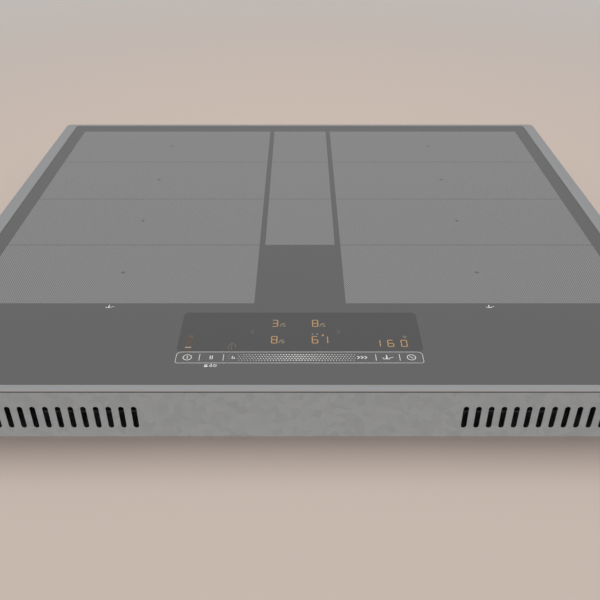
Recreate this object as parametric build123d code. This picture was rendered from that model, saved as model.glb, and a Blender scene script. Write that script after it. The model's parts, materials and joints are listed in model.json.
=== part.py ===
from build123d import *
import math
import os

# Built-in induction cooktop: a glass plate in a thin steel frame, over a sheet casing
# that hangs in a cut-out.
# Millimetres. The origin is the centre of the cut-out, in the plane that the frame's seal lies on.
# +X is to the right seen from the front, +Y to the back and +Z up.

# Cut-out that the frame covers
CUTOUT_WIDTH = 560.0
CUTOUT_DEPTH = 500.0
CUTOUT_CLEARANCE = 0.3

# Trim frame, seal and glass
FRAME_LAP_SIDE = 12.0
FRAME_LAP_FRONT = 4.6
FRAME_FLANGE = 1.5
FRAME_SHEET = 0.6
FRAME_LEDGE = 0.8
FRAME_CORNER = 6.0
FRAME_EDGE_ROUND = 0.5
LEDGE_WIDTH = 6.6
SKIRT_HEIGHT = 12.0
SEAL_THICKNESS = 0.9
SEAL_SETBACK = 0.2
SEAL_INNER_GAP = 1.0
GLASS_THICKNESS = 4.0
GLASS_CORNER = 3.0
GLASS_EDGE_GAP = 0.12
GLASS_RECESS = 0.1
GLASS_EDGE_CHAMFER = 0.2
BOND_THICKNESS = 0.5
BOND_INSET = 1.0

# Coil deck, from the glass downwards
INSULATION_THICKNESS = 0.8
WINDING_THICKNESS = 4.5
FORMER_THICKNESS = 1.5
FERRITE_THICKNESS = 4.0
DECK_PLATE_THICKNESS = 1.5
DECK_AIR_GAP = 5.0
COIL_ROWS = 4
CENTRE_ROWS = 3
COIL_GAP = 12.0
CENTRE_COIL_WIDTH = 59.0
DECK_SIDE_GAP = 14.6
DECK_REAR_GAP = 18.6
CONTROL_BAY_DEPTH = 99.6
SIDE_WINDING_WIDTH = 30.0
CENTRE_WINDING_WIDTH = 15.0
SIDE_LEAD_INSET = 7.5
CENTRE_LEAD_INSET = 5.0
FORMER_BORDER = 2.0
FERRITE_WIDTH = 14.0
FERRITE_SIDE_BARS = 4
FERRITE_END_GAP = 5.0
SENSOR_RADIUS = 4.0
SENSOR_CLEARANCE = 0.5
PLATE_BORDER = 4.0
PLATE_EDGE_GAP = 1.5

# Electronics, from the casing's floor upwards
CASING_SHEET = 0.7
CASING_TOP_GAP = 0.2
STANDOFF_HEIGHT = 4.7
BOARD_THICKNESS = 1.6
COMPONENT_HEIGHT = 25.0
POST_BAY = 30.0
BOARD_CENTRE_GAP = 20.0
BOARD_HOLE_INSET = 6.0
STANDOFF_RADIUS = 3.5
FIN_COUNT = 11
FIN_THICKNESS = 1.6
FIN_SPACE = 4.4
HEAT_SINK_BASE = 4.0
HEAT_SINK_FRONT_GAP = 24.0
HEAT_SINK_REAR_GAP = 3.0
TRANSISTOR_COUNT = 5
TRANSISTOR_WIDTH = 15.6
TRANSISTOR_THICKNESS = 5.0
TRANSISTOR_HEIGHT = 20.0
CAPACITOR_ROWS = 4
CAPACITOR_COLUMNS = 2
CAPACITOR_HEIGHT = 22.0
CAPACITOR_GAP = 7.0
CAPACITOR_ROUND = 1.5
CHOKE_RADIUS = 15.0
CHOKE_SECTION = 5.5
TRANSFORMER_SIZE = 34.0
TRANSFORMER_HEIGHT = 22.0

# Cooling fans
FAN_CENTRE_X = 95.0
FAN_REAR_GAP = 18.0
FAN_FRONT_GAP = 12.0
FAN_WALL = 2.0
SCROLL_GAP = 8.0
FAN_INLET_RADIUS = 30.0
FAN_LUG_RADIUS = 5.0
FAN_LUG_HEIGHT = 4.0
FAN_LUG_ANGLES = (35.0, 145.0, 215.0)
IMPELLER_RADIUS = 38.0
IMPELLER_RIM = 2.0
IMPELLER_GAP = 0.8
BLADE_COUNT = 28
BLADE_LENGTH = 9.0
BLADE_THICKNESS = 1.2
BLADE_ANGLE = 32.0
MOTOR_RADIUS = 17.0
MOTOR_HEIGHT = 15.0
MOTOR_GAP = 1.0
HUB_WALL = 1.6
SHAFT_RADIUS = 1.5
SHAFT_CLEARANCE = 0.05
SHAFT_OVERHANG = 2.0

# Deck springs and their posts
POST_RADIUS = 7.0
POST_WALL_GAP = 13.0
POST_END_GAP = 10.0
SPRING_HEIGHT = 11.0
SPRING_WIDTH = 10.0
SPRING_SHEET = 0.6
SPRING_FLAT = 5.0
SPRING_RISE_RUN = 4.0

# Touch panel
CARRIER_HALF_WIDTH = 104.0
CARRIER_HEIGHT = 13.0
CARRIER_WALL = 2.0
CARRIER_FRONT_GAP = 1.2
CARRIER_REAR_GAP = 10.0
TOUCH_BOARD_GAP = 1.0
DISPLAY_HEIGHT = 5.0
SLIDER_FROM_FRONT = 30.4
KEY_RADIUS = 3.4
KEY_OFFSETS = (-80.5, -63.7, -47.8, 63.7, 80.5)
SLIDER_CONTACTS = 9
SLIDER_HALF_LENGTH = 38.0
DIGIT_CLEAR_WIDTH = 8.0
DIGIT_CLEAR_DEPTH = 13.0
POWER_DIGIT_X = (-16.0, 15.0)
POWER_DIGIT_ROWS = (51.7, 72.7)
TIMER_DIGIT_X = 68.0
TIMER_DIGIT_ROW = 46.9
TIMER_WIDTH = 27.0
RIBBON_X = -62.0
RIBBON_WIDTH = 16.0
RIBBON_SHEET = 0.6
RIBBON_FLAT = 10.0

# Terminal box, in a notch of the casing's rear edge
TERMINAL_DEPTH = 37.0
TERMINAL_HEIGHT = 33.0
TERMINAL_WALL = 2.0
TERMINAL_SIDE_GAP = 12.0
TERMINAL_LIP = 4.0
TERMINAL_FIT = 0.2
GROMMET_BAY = 31.0
GROMMET_BORE = 6.5
GROMMET_WALL = 2.0
GROMMET_FLANGE = 2.0
GROMMET_LENGTH = 9.0
GROMMET_HEIGHT = 17.0
WINDOW_BORDER = 5.0
COVER_THICKNESS = 2.0
COVER_GAP = 0.9
COVER_LAP = 2.0
HINGE_RADIUS = 1.6
HINGE_PIN_RADIUS = 1.0
HINGE_PIN_CLEARANCE = 0.05
HINGE_PIN_LENGTH = 2.6
HINGE_LUG = 3.4
HINGE_SIDE_GAP = 0.3
BLOCK_DEPTH = 16.0
BLOCK_HEIGHT = 18.0
BLOCK_POLES = 5
BLOCK_LEAD_DROP = 4.5
TERMINAL_SCREW_RADIUS = 2.2
TERMINAL_SCREW_HEAD = 1.4
LEAD_RADIUS = 1.4
LEAD_CLEARANCE = 0.6
LEAD_BEND = 4.0
LEAD_PITCH = 8.0
MAINS_LEAD_COUNT = 3

# Screws
SCREW_RADIUS = 1.5
SCREW_HEAD_RADIUS = 3.0
SCREW_HEAD_HEIGHT = 1.8
SCREW_CLEARANCE = 0.15
WALL_SCREW_LENGTH = 5.0
WALL_SCREW_END_GAP = 60.0

# Vents and pressed ribs of the casing
GRILLE_PITCH = 6.5
GRILLE_SLOT = 3.4
GRILLE_BRIDGE = 5.0
VENT_SLOT = 4.0
VENT_PITCH = 9.0
VENT_HEIGHT = 20.0
VENT_COUNT = 15
VENT_FIRST = 118.0
RIB_LENGTH = 400.0
RIB_WIDTH = 8.0
RIB_RISE = 1.2
RIB_PITCH = 20.0
RIB_COUNT = 3

# Side clips
CLIP_WIDTH = 30.0
CLIP_SHEET = 0.8
CLIP_FOOT = 14.0
CLIP_FOOT_GAP = 4.0
CLIP_SPLIT = 0.6
CLIP_OVERREACH = 2.8
CLIP_KNEE_HEIGHT = 19.5
CLIP_TIP_HEIGHT = 25.0
CLIP_TIP_RETURN = 1.2
CLIP_FROM_CENTRE = 140.0


def inset(half, distance):
    """Half sizes of a rectangle drawn in by a distance on every side."""
    return half[0] - distance, half[1] - distance


# Levels and half sizes that follow from the values above
FRAME_TOP = SEAL_THICKNESS + FRAME_FLANGE
GLASS_TOP = FRAME_TOP - GLASS_RECESS
GLASS_BOTTOM = GLASS_TOP - GLASS_THICKNESS
LEDGE_TOP = GLASS_BOTTOM - BOND_THICKNESS
LEDGE_BOTTOM = LEDGE_TOP - FRAME_LEDGE
SKIRT_BOTTOM = LEDGE_BOTTOM - SKIRT_HEIGHT
CUTOUT_HALF = (CUTOUT_WIDTH / 2, CUTOUT_DEPTH / 2)
FRAME_OUTER = (CUTOUT_HALF[0] + FRAME_LAP_SIDE, CUTOUT_HALF[1] + FRAME_LAP_FRONT)
WALL_OUTER = inset(CUTOUT_HALF, CUTOUT_CLEARANCE)
WALL_INNER = inset(WALL_OUTER, FRAME_SHEET)
GLASS_HALF = inset(WALL_INNER, GLASS_EDGE_GAP)
SKIRT_INNER = inset(WALL_INNER, LEDGE_WIDTH)
INNER_X, INNER_Y = inset(SKIRT_INNER, -FRAME_SHEET)
CASING_HALF = (INNER_X + CASING_SHEET, INNER_Y + CASING_SHEET)
WALL_CORNER = GLASS_CORNER + FRAME_SHEET

INSULATION_BOTTOM = GLASS_BOTTOM - INSULATION_THICKNESS
WINDING_BOTTOM = INSULATION_BOTTOM - WINDING_THICKNESS
FORMER_BOTTOM = WINDING_BOTTOM - FORMER_THICKNESS
PLATE_TOP = FORMER_BOTTOM - FERRITE_THICKNESS
PLATE_BOTTOM = PLATE_TOP - DECK_PLATE_THICKNESS
COMPONENT_TOP = PLATE_BOTTOM - DECK_AIR_GAP
BOARD_TOP = COMPONENT_TOP - COMPONENT_HEIGHT
BOARD_BOTTOM = BOARD_TOP - BOARD_THICKNESS
FLOOR = BOARD_BOTTOM - STANDOFF_HEIGHT
BASE = FLOOR - CASING_SHEET
CASING_TOP = LEDGE_BOTTOM - CASING_TOP_GAP

COIL_FRONT = -INNER_Y + CONTROL_BAY_DEPTH
COIL_REAR = INNER_Y - DECK_REAR_GAP
COIL_PITCH = (COIL_REAR - COIL_FRONT + COIL_GAP) / COIL_ROWS
COIL_DEPTH = COIL_PITCH - COIL_GAP
COIL_INNER_X = CENTRE_COIL_WIDTH / 2 + COIL_GAP
COIL_OUTER_X = INNER_X - DECK_SIDE_GAP
COIL_LENGTH = COIL_OUTER_X - COIL_INNER_X
COIL_X = (COIL_OUTER_X + COIL_INNER_X) / 2
PLATE_HALF_X = SKIRT_INNER[0] - PLATE_EDGE_GAP
PLATE_FRONT = COIL_FRONT - PLATE_BORDER
PLATE_REAR = COIL_REAR + PLATE_BORDER

FAN_OUTER = IMPELLER_RADIUS + SCROLL_GAP + FAN_WALL
FAN_Y = INNER_Y - FAN_REAR_GAP - FAN_OUTER
FAN_FRONT = FAN_Y - FAN_OUTER - FAN_FRONT_GAP
BOARD_OUTER = INNER_X - POST_BAY
BOARD_FRONT = COIL_FRONT
BOARD_REAR = FAN_FRONT - FAN_WALL
SIDE_BAY = FAN_CENTRE_X + FAN_OUTER + TERMINAL_SIDE_GAP
HEAT_SINK_WIDTH = FIN_COUNT * FIN_THICKNESS + (FIN_COUNT - 1) * FIN_SPACE

PANEL_FRONT = -WALL_INNER[1]
CARRIER_FRONT = -SKIRT_INNER[1] + CARRIER_FRONT_GAP
CARRIER_REAR = PLATE_FRONT - CARRIER_REAR_GAP
CARRIER_BOTTOM = GLASS_BOTTOM - CARRIER_HEIGHT
TOUCH_BOARD_TOP = GLASS_BOTTOM - DISPLAY_HEIGHT

TERMINAL_REAR = CASING_HALF[1]
TERMINAL_FRONT = TERMINAL_REAR - TERMINAL_DEPTH
TERMINAL_TOP = BASE + TERMINAL_HEIGHT
GROMMET_X = BOARD_OUTER - GROMMET_BAY / 2
GROMMET_Z = BASE + GROMMET_HEIGHT
HINGE_Y = TERMINAL_REAR + COVER_GAP + COVER_THICKNESS / 2
HINGE_Z = BASE + TERMINAL_WALL + HINGE_RADIUS
COVER_X = (SIDE_BAY + HINGE_LUG + HINGE_SIDE_GAP, BOARD_OUTER - GROMMET_BAY - HINGE_LUG - HINGE_SIDE_GAP)
WINDOW_X = (COVER_X[0] + COVER_LAP, COVER_X[1] - COVER_LAP)
WINDOW_Z = (HINGE_Z + WINDOW_BORDER, TERMINAL_TOP - WINDOW_BORDER)
WALL_SCREW_Z = LEDGE_BOTTOM - SKIRT_HEIGHT / 2
CLIP_SCREW_Z = BASE + CLIP_FOOT_GAP + CLIP_FOOT / 2


def save(name, shape):
    """Write one named sub-part, made of one solid or of a list of separate solids."""
    whole = Compound(list(shape)) if isinstance(shape, (list, tuple)) else shape
    export_step(whole, f"parts/{name}.step")


def block(x, y, z):
    """Box between pairs of limits along X, Y and Z."""
    centre = Pos((x[0] + x[1]) / 2, (y[0] + y[1]) / 2, (z[0] + z[1]) / 2)
    return centre * Box(x[1] - x[0], y[1] - y[0], z[1] - z[0])


def rod(x, y, z, radius):
    """Upright cylinder between two levels."""
    return Pos(x, y, (z[0] + z[1]) / 2) * Cylinder(radius, z[1] - z[0])


def rod_y(x, y, z, radius):
    """Cylinder along Y between two limits."""
    return Pos(x, (y[0] + y[1]) / 2, z) * Rot(90, 0, 0) * Cylinder(radius, y[1] - y[0])


def rod_x(x, y, z, radius):
    """Cylinder along X between two limits."""
    return Pos((x[0] + x[1]) / 2, y, z) * Rot(0, 90, 0) * Cylinder(radius, x[1] - x[0])


def span(side, near, far):
    """Limits along X of something on the left (-1) or right (1) side."""
    return (near, far) if side > 0 else (-far, -near)


def plate(half, radius, z):
    """Rounded rectangular plate about the origin."""
    return extrude(Pos(0, 0, z[0]) * RectangleRounded(2 * half[0], 2 * half[1], radius), amount=z[1] - z[0])


def ring(outer, outer_radius, inner, inner_radius, z):
    """Rounded rectangular ring about the origin."""
    return plate(outer, outer_radius, z) - plate(inner, inner_radius, z)


def strip(points, thickness, plane, width):
    """Bent sheet strip: a centre line in a plane, given thickness and a width across the plane."""
    lines = [Vector(u, v) for u, v in points]
    normals = []
    for start, end in zip(lines, lines[1:]):
        run = (end - start).normalized()
        normals.append(Vector(-run.Y, run.X))
    joints = [normals[0]]
    for before, after in zip(normals, normals[1:]):
        joints.append((before + after) / (1 + before.dot(after)))
    joints.append(normals[-1])
    half = thickness / 2
    upper = [point + normal * half for point, normal in zip(lines, joints)]
    lower = [point - normal * half for point, normal in zip(lines, joints)]
    outline = upper + lower[::-1]
    face = make_face(Polyline(*[(p.X, p.Y) for p in outline], close=True))
    return extrude(plane * face, amount=width / 2, both=True)


def tube(points, bends, radius):
    """Round lead along straight runs joined by tangent arcs."""
    path = FilletPolyline(*points, radius=bends) if len(points) > 2 else Line(*points)
    return sweep(Plane(path @ 0, z_dir=path % 0) * Circle(radius), path=path)


def pan_screw(length):
    """Pan-head screw: the head's underside at the origin, its shank along -Z."""
    head = rod(0, 0, (0, SCREW_HEAD_HEIGHT), SCREW_HEAD_RADIUS)
    head = fillet(head.faces().sort_by(Axis.Z)[-1].edges(), SCREW_HEAD_HEIGHT / 2)
    return head + rod(0, 0, (-length, 0), SCREW_RADIUS)


def wall_screws():
    """Places of the screws that go through the casing's walls into the frame's skirt, as locations."""
    side_y = CASING_HALF[1] - WALL_SCREW_END_GAP
    end_x = CASING_HALF[0] - WALL_SCREW_END_GAP
    places = []
    for side in (-1, 1):
        for y in (-side_y, side_y):
            places.append(Pos(side * CASING_HALF[0], y, WALL_SCREW_Z) * Rot(0, side * 90, 0))
        for x in (-end_x, end_x):
            places.append(Pos(x, side * CASING_HALF[1], WALL_SCREW_Z) * Rot(-side * 90, 0, 0))
    return places


def clip_places():
    """Side and Y of each of the four side clips."""
    return [(side, row) for side in (-1, 1) for row in (-CLIP_FROM_CENTRE, CLIP_FROM_CENTRE)]


def clip_screws():
    """Places of the screws that hold the clips' feet, as locations."""
    outer = CASING_HALF[0] + CLIP_SHEET
    return [Pos(side * outer, y, CLIP_SCREW_Z) * Rot(0, side * 90, 0) for side, y in clip_places()]


def screw_hole(length):
    """Clearance hole for a screw, along Z on both sides of the origin."""
    return Cylinder(SCREW_RADIUS + SCREW_CLEARANCE, 2 * length)


def row_y(row):
    """Middle of a row of coils, counted from the front."""
    return COIL_FRONT + COIL_DEPTH / 2 + row * COIL_PITCH


def side_coils():
    """Side, row and centre of every long coil."""
    return [(side, row, side * COIL_X, row_y(row)) for side in (-1, 1) for row in range(COIL_ROWS)]


def centre_coils():
    """Y of every coil of the centre strip, which has no coil in the front row."""
    return [row_y(row) for row in range(COIL_ROWS - CENTRE_ROWS, COIL_ROWS)]


def glass_top():
    """Glass plate with a fine ground edge."""
    glass = plate(GLASS_HALF, GLASS_CORNER - GLASS_EDGE_GAP, (GLASS_BOTTOM, GLASS_TOP))
    return chamfer(glass.faces().sort_by(Axis.Z)[-1].edges(), GLASS_EDGE_CHAMFER)


def trim_frame():
    """Steel frame: flange over the cut-out's edge, step into the cut-out, ledge under the glass and skirt."""
    flange = ring(FRAME_OUTER, FRAME_CORNER, WALL_INNER, GLASS_CORNER, (SEAL_THICKNESS, FRAME_TOP))
    flange = fillet(flange.faces().sort_by(Axis.Z)[-1].outer_wire().edges(), FRAME_EDGE_ROUND)
    wall = ring(WALL_OUTER, WALL_CORNER, WALL_INNER, GLASS_CORNER, (LEDGE_BOTTOM, FRAME_TOP))
    ledge = ring(WALL_OUTER, WALL_CORNER, SKIRT_INNER, GLASS_CORNER, (LEDGE_BOTTOM, LEDGE_TOP))
    skirt = ring((INNER_X, INNER_Y), WALL_CORNER, SKIRT_INNER, GLASS_CORNER, (SKIRT_BOTTOM, LEDGE_TOP))
    holes = [place * screw_hole(WALL_SCREW_LENGTH) for place in wall_screws()]
    return flange + wall + ledge + skirt - holes


def glass_bond():
    """Adhesive bead between the glass and the frame's ledge."""
    inner = inset(SKIRT_INNER, -BOND_INSET)
    return ring(inset(GLASS_HALF, BOND_INSET), GLASS_CORNER, inner, GLASS_CORNER, (LEDGE_TOP, GLASS_BOTTOM))


def worktop_seal():
    """Flat gasket under the flange."""
    outer = inset(FRAME_OUTER, SEAL_SETBACK)
    inner = inset(CUTOUT_HALF, -SEAL_INNER_GAP)
    return ring(outer, FRAME_CORNER - SEAL_SETBACK, inner, WALL_CORNER, (0, SEAL_THICKNESS))


def board_holes():
    """X and Y of every hole that fixes a board to its stand-offs."""
    places = []
    for x, y in board_outlines().values():
        for hole_x in (x[0] + BOARD_HOLE_INSET, x[1] - BOARD_HOLE_INSET):
            for hole_y in (y[0] + BOARD_HOLE_INSET, y[1] - BOARD_HOLE_INSET):
                places.append((hole_x, hole_y))
    return places


def board_outlines():
    """Limits along X and Y of each circuit board on the casing's floor."""
    power_y = (BOARD_FRONT, BOARD_REAR)
    rear_front = FAN_FRONT + FAN_FRONT_GAP / 2
    return {
        "power_board_left": (span(-1, BOARD_CENTRE_GAP, BOARD_OUTER), power_y),
        "power_board_right": (span(1, BOARD_CENTRE_GAP, BOARD_OUTER), power_y),
        "filter_board": (span(1, SIDE_BAY, BOARD_OUTER), (rear_front, TERMINAL_FRONT - TERMINAL_SIDE_GAP)),
        "supply_board": (span(-1, SIDE_BAY, BOARD_OUTER), (rear_front, INNER_Y - TERMINAL_SIDE_GAP)),
    }


def circuit_board(x, y):
    """Circuit board with a hole in each corner."""
    board = block(x, y, (BOARD_BOTTOM, BOARD_TOP))
    middle = (BOARD_TOP + BOARD_BOTTOM) / 2
    holes = [Pos(hx, hy, middle) * screw_hole(BOARD_THICKNESS) for hx, hy in board_holes()]
    return board - holes


def board_standoffs():
    """Threaded stand-offs on the casing's floor."""
    posts = []
    for x, y in board_holes():
        post = rod(x, y, (FLOOR, BOARD_BOTTOM), STANDOFF_RADIUS)
        posts.append(post - rod(x, y, (FLOOR, BOARD_BOTTOM), SCREW_RADIUS + SHAFT_CLEARANCE))
    return posts


def fan_lugs(side):
    """X and Y of the lugs that fix a fan housing to the floor."""
    reach = FAN_OUTER + SCREW_HEAD_RADIUS + SCREW_CLEARANCE
    places = []
    for angle in FAN_LUG_ANGLES:
        turn = math.radians(angle)
        places.append((side * (FAN_CENTRE_X + reach * math.cos(turn)), FAN_Y + reach * math.sin(turn)))
    return places


def board_screws():
    """Screws of the boards and of the fan housings."""
    screws = []
    for x, y in board_holes():
        screws.append(Pos(x, y, BOARD_TOP) * pan_screw(STANDOFF_HEIGHT))
    for side in (-1, 1):
        for x, y in fan_lugs(side):
            screws.append(Pos(x, y, FLOOR + FAN_LUG_HEIGHT) * pan_screw(FAN_LUG_HEIGHT))
    return screws


def intake_slots(x):
    """Parallel slots inside the fan's inlet circle, bridged in the middle."""
    slots = []
    rows = int(FAN_INLET_RADIUS / GRILLE_PITCH)
    for row in range(-rows, rows + 1):
        offset = row * GRILLE_PITCH
        half = math.sqrt(FAN_INLET_RADIUS ** 2 - offset ** 2) - GRILLE_SLOT / 2
        if half < GRILLE_BRIDGE + GRILLE_SLOT:
            continue
        for side in (-1, 1):
            length = half - GRILLE_BRIDGE / 2
            middle = side * (GRILLE_BRIDGE / 2 + length / 2)
            slot = Pos(x + middle, FAN_Y + offset, BASE) * SlotOverall(length, GRILLE_SLOT)
            slots.append(extrude(slot, amount=CASING_SHEET))
    return slots


def outlet_slots():
    """Upright slots through the front wall, where the cooling air leaves."""
    middle = (COMPONENT_TOP + BOARD_BOTTOM) / 2
    outline = Rot(90, 0, 0) * SlotOverall(VENT_HEIGHT, VENT_SLOT, rotation=90)
    slot = extrude(outline, amount=2 * CASING_SHEET, both=True)
    places = []
    for side in (-1, 1):
        for index in range(VENT_COUNT):
            x = side * (VENT_FIRST + index * VENT_PITCH)
            places.append(Pos(x, -CASING_HALF[1] + CASING_SHEET / 2, middle) * slot)
    return places


def rib(y, grow, z):
    """Rounded bar along X for a pressed rib or for its hollow side."""
    outline = Pos(0, y, z[0]) * SlotOverall(RIB_LENGTH + 2 * grow, RIB_WIDTH + 2 * grow)
    return extrude(outline, amount=z[1] - z[0])


def rib_rows():
    """Y of the ribs pressed into the floor, in front of the boards."""
    middle = -INNER_Y + CONTROL_BAY_DEPTH / 2
    return [middle + (index - (RIB_COUNT - 1) / 2) * RIB_PITCH for index in range(RIB_COUNT)]


def terminal_notch():
    """Notch for the terminal box in the casing's rear edge, with room to fit."""
    x = (SIDE_BAY - TERMINAL_FIT, BOARD_OUTER + TERMINAL_FIT)
    y = (TERMINAL_FRONT - TERMINAL_FIT, TERMINAL_REAR + CASING_SHEET)
    return block(x, y, (BASE - CASING_SHEET, TERMINAL_TOP + TERMINAL_FIT))


def lower_casing():
    """Folded sheet tray with intake grilles, outlet slots, ribs and a notch for the terminal box."""
    tray = plate(CASING_HALF, WALL_CORNER + CASING_SHEET, (BASE, CASING_TOP))
    tray -= plate((INNER_X, INNER_Y), WALL_CORNER, (FLOOR, CASING_TOP))
    tray += [rib(y, CASING_SHEET, (BASE, FLOOR + RIB_RISE)) for y in rib_rows()]
    cuts = [rib(y, 0, (BASE, BASE + RIB_RISE)) for y in rib_rows()]
    cuts += outlet_slots()
    cuts += [place * screw_hole(WALL_SCREW_LENGTH) for place in wall_screws() + clip_screws()]
    for side in (-1, 1):
        cuts += intake_slots(side * FAN_CENTRE_X)
        cuts += [Pos(x, y, FLOOR) * screw_hole(CASING_SHEET) for x, y in fan_lugs(side)]
    cuts.append(terminal_notch())
    return tray - cuts


def casing_screws():
    """Screws of the casing's walls and of the clips' feet."""
    return [place * pan_screw(WALL_SCREW_LENGTH) for place in wall_screws() + clip_screws()]


def heat_sink(side):
    """Extruded heat sink with its fins along the cooling air."""
    start = -HEAT_SINK_WIDTH / 2
    points = [(start, BOARD_TOP), (start, COMPONENT_TOP)]
    for fin in range(FIN_COUNT):
        left = start + fin * (FIN_THICKNESS + FIN_SPACE)
        right = left + FIN_THICKNESS
        if fin > 0:
            points += [(left, BOARD_TOP + HEAT_SINK_BASE), (left, COMPONENT_TOP)]
        points.append((right, COMPONENT_TOP))
        if fin < FIN_COUNT - 1:
            points.append((right, BOARD_TOP + HEAT_SINK_BASE))
    points.append((-start, BOARD_TOP))
    y = (BOARD_FRONT + HEAT_SINK_FRONT_GAP, BOARD_REAR - HEAT_SINK_REAR_GAP)
    section = Plane.XZ * make_face(Polyline(*points, close=True))
    fins = extrude(section, amount=(y[1] - y[0]) / 2, both=True)
    return Pos(side * FAN_CENTRE_X, (y[0] + y[1]) / 2, 0) * fins


def power_transistors(side):
    """Power transistors that stand on the board against the heat sink's outer side."""
    near = FAN_CENTRE_X + HEAT_SINK_WIDTH / 2
    length = BOARD_REAR - HEAT_SINK_REAR_GAP - BOARD_FRONT - HEAT_SINK_FRONT_GAP
    pieces = []
    for index in range(TRANSISTOR_COUNT):
        y = BOARD_FRONT + HEAT_SINK_FRONT_GAP + length * (index + 0.5) / TRANSISTOR_COUNT
        limits = (y - TRANSISTOR_WIDTH / 2, y + TRANSISTOR_WIDTH / 2)
        pieces.append(block(span(side, near, near + TRANSISTOR_THICKNESS), limits,
                            (BOARD_TOP, BOARD_TOP + TRANSISTOR_HEIGHT)))
    return pieces


def resonance_capacitors(side):
    """Film capacitors in rows on the outer part of a power board."""
    near = FAN_CENTRE_X + HEAT_SINK_WIDTH / 2 + TRANSISTOR_THICKNESS + CAPACITOR_GAP
    far = BOARD_OUTER - CAPACITOR_GAP
    front = BOARD_FRONT + HEAT_SINK_FRONT_GAP
    rear = BOARD_REAR - HEAT_SINK_FRONT_GAP
    width = (far - near + CAPACITOR_GAP) / CAPACITOR_COLUMNS
    depth = (rear - front + CAPACITOR_GAP) / CAPACITOR_ROWS
    pieces = []
    for column in range(CAPACITOR_COLUMNS):
        for row in range(CAPACITOR_ROWS):
            x = near + column * width
            y = front + row * depth
            body = block(span(side, x, x + width - CAPACITOR_GAP), (y, y + depth - CAPACITOR_GAP),
                         (BOARD_TOP, BOARD_TOP + CAPACITOR_HEIGHT))
            pieces.append(fillet(body.edges().filter_by(Axis.Z), CAPACITOR_ROUND))
    return pieces


def filter_chokes():
    """Two toroidal chokes that lie on the filter board."""
    x, y = board_outlines()["filter_board"]
    pieces = []
    for share in (-1, 1):
        cx = (x[0] + x[1]) / 2 + share * (CHOKE_RADIUS + CHOKE_SECTION + CAPACITOR_ROUND)
        cy = y[0] + BOARD_HOLE_INSET + CHOKE_RADIUS + CHOKE_SECTION
        pieces.append(Pos(cx, cy, BOARD_TOP + CHOKE_SECTION) * Torus(CHOKE_RADIUS, CHOKE_SECTION))
    return pieces


def filter_capacitors():
    """Two film capacitors behind the chokes."""
    x, y = board_outlines()["filter_board"]
    front = y[0] + BOARD_HOLE_INSET + 2 * (CHOKE_RADIUS + CHOKE_SECTION) + CAPACITOR_GAP / 2
    inside = (x[0] + 2 * BOARD_HOLE_INSET, x[1] - 2 * BOARD_HOLE_INSET)
    middle = (inside[0] + inside[1]) / 2
    pieces = []
    for limits in ((inside[0], middle - CAPACITOR_GAP / 2), (middle + CAPACITOR_GAP / 2, inside[1])):
        body = block(limits, (front, y[1] - BOARD_HOLE_INSET / 2), (BOARD_TOP, BOARD_TOP + CAPACITOR_HEIGHT))
        pieces.append(fillet(body.edges().filter_by(Axis.Z), CAPACITOR_ROUND))
    return pieces


def supply_transformer():
    """Small transformer in the middle of the supply board."""
    x, y = board_outlines()["supply_board"]
    half = TRANSFORMER_SIZE / 2
    cx = (x[0] + x[1]) / 2
    cy = (y[0] + y[1]) / 2
    core = block((cx - half, cx + half), (cy - half, cy + half), (BOARD_TOP, BOARD_TOP + TRANSFORMER_HEIGHT))
    return fillet(core.edges().filter_by(Axis.Z), CAPACITOR_ROUND)


def fan_housing(side):
    """Scroll housing: inlet in its floor, outlet towards the heat sink, closed above."""
    radius = FAN_OUTER - FAN_WALL
    mouth = HEAT_SINK_WIDTH / 2
    reach = FAN_Y - FAN_FRONT
    scroll = Circle(FAN_OUTER) + Pos(0, -reach / 2) * Rectangle(2 * mouth + 2 * FAN_WALL, reach)
    hollow = Circle(radius) + Pos(0, -reach / 2) * Rectangle(2 * mouth, reach)
    shell = extrude(Pos(0, 0, FLOOR) * scroll, amount=COMPONENT_TOP - FLOOR)
    shell -= extrude(Pos(0, 0, FLOOR + FAN_WALL) * hollow, amount=COMPONENT_TOP - FLOOR - 2 * FAN_WALL)
    shell -= rod(0, 0, (FLOOR, FLOOR + FAN_WALL), FAN_INLET_RADIUS)
    shell = Pos(side * FAN_CENTRE_X, FAN_Y, 0) * shell
    lug_z = (FLOOR, FLOOR + FAN_LUG_HEIGHT)
    lugs = [rod(x, y, lug_z, FAN_LUG_RADIUS) for x, y in fan_lugs(side)]
    shell += [lug - rod(side * FAN_CENTRE_X, FAN_Y, lug_z, FAN_OUTER - FAN_WALL / 2) for lug in lugs]
    return shell - [Pos(x, y, FLOOR) * screw_hole(FAN_LUG_HEIGHT) for x, y in fan_lugs(side)]


def fan_motor(side):
    """Motor under the housing's roof, with its shaft pointing down."""
    roof = COMPONENT_TOP - FAN_WALL
    body = rod(0, 0, (roof - MOTOR_HEIGHT, roof), MOTOR_RADIUS)
    tip = roof - MOTOR_HEIGHT - IMPELLER_GAP - HUB_WALL - SHAFT_OVERHANG
    return Pos(side * FAN_CENTRE_X, FAN_Y, 0) * (body + rod(0, 0, (tip, roof), SHAFT_RADIUS))


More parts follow.
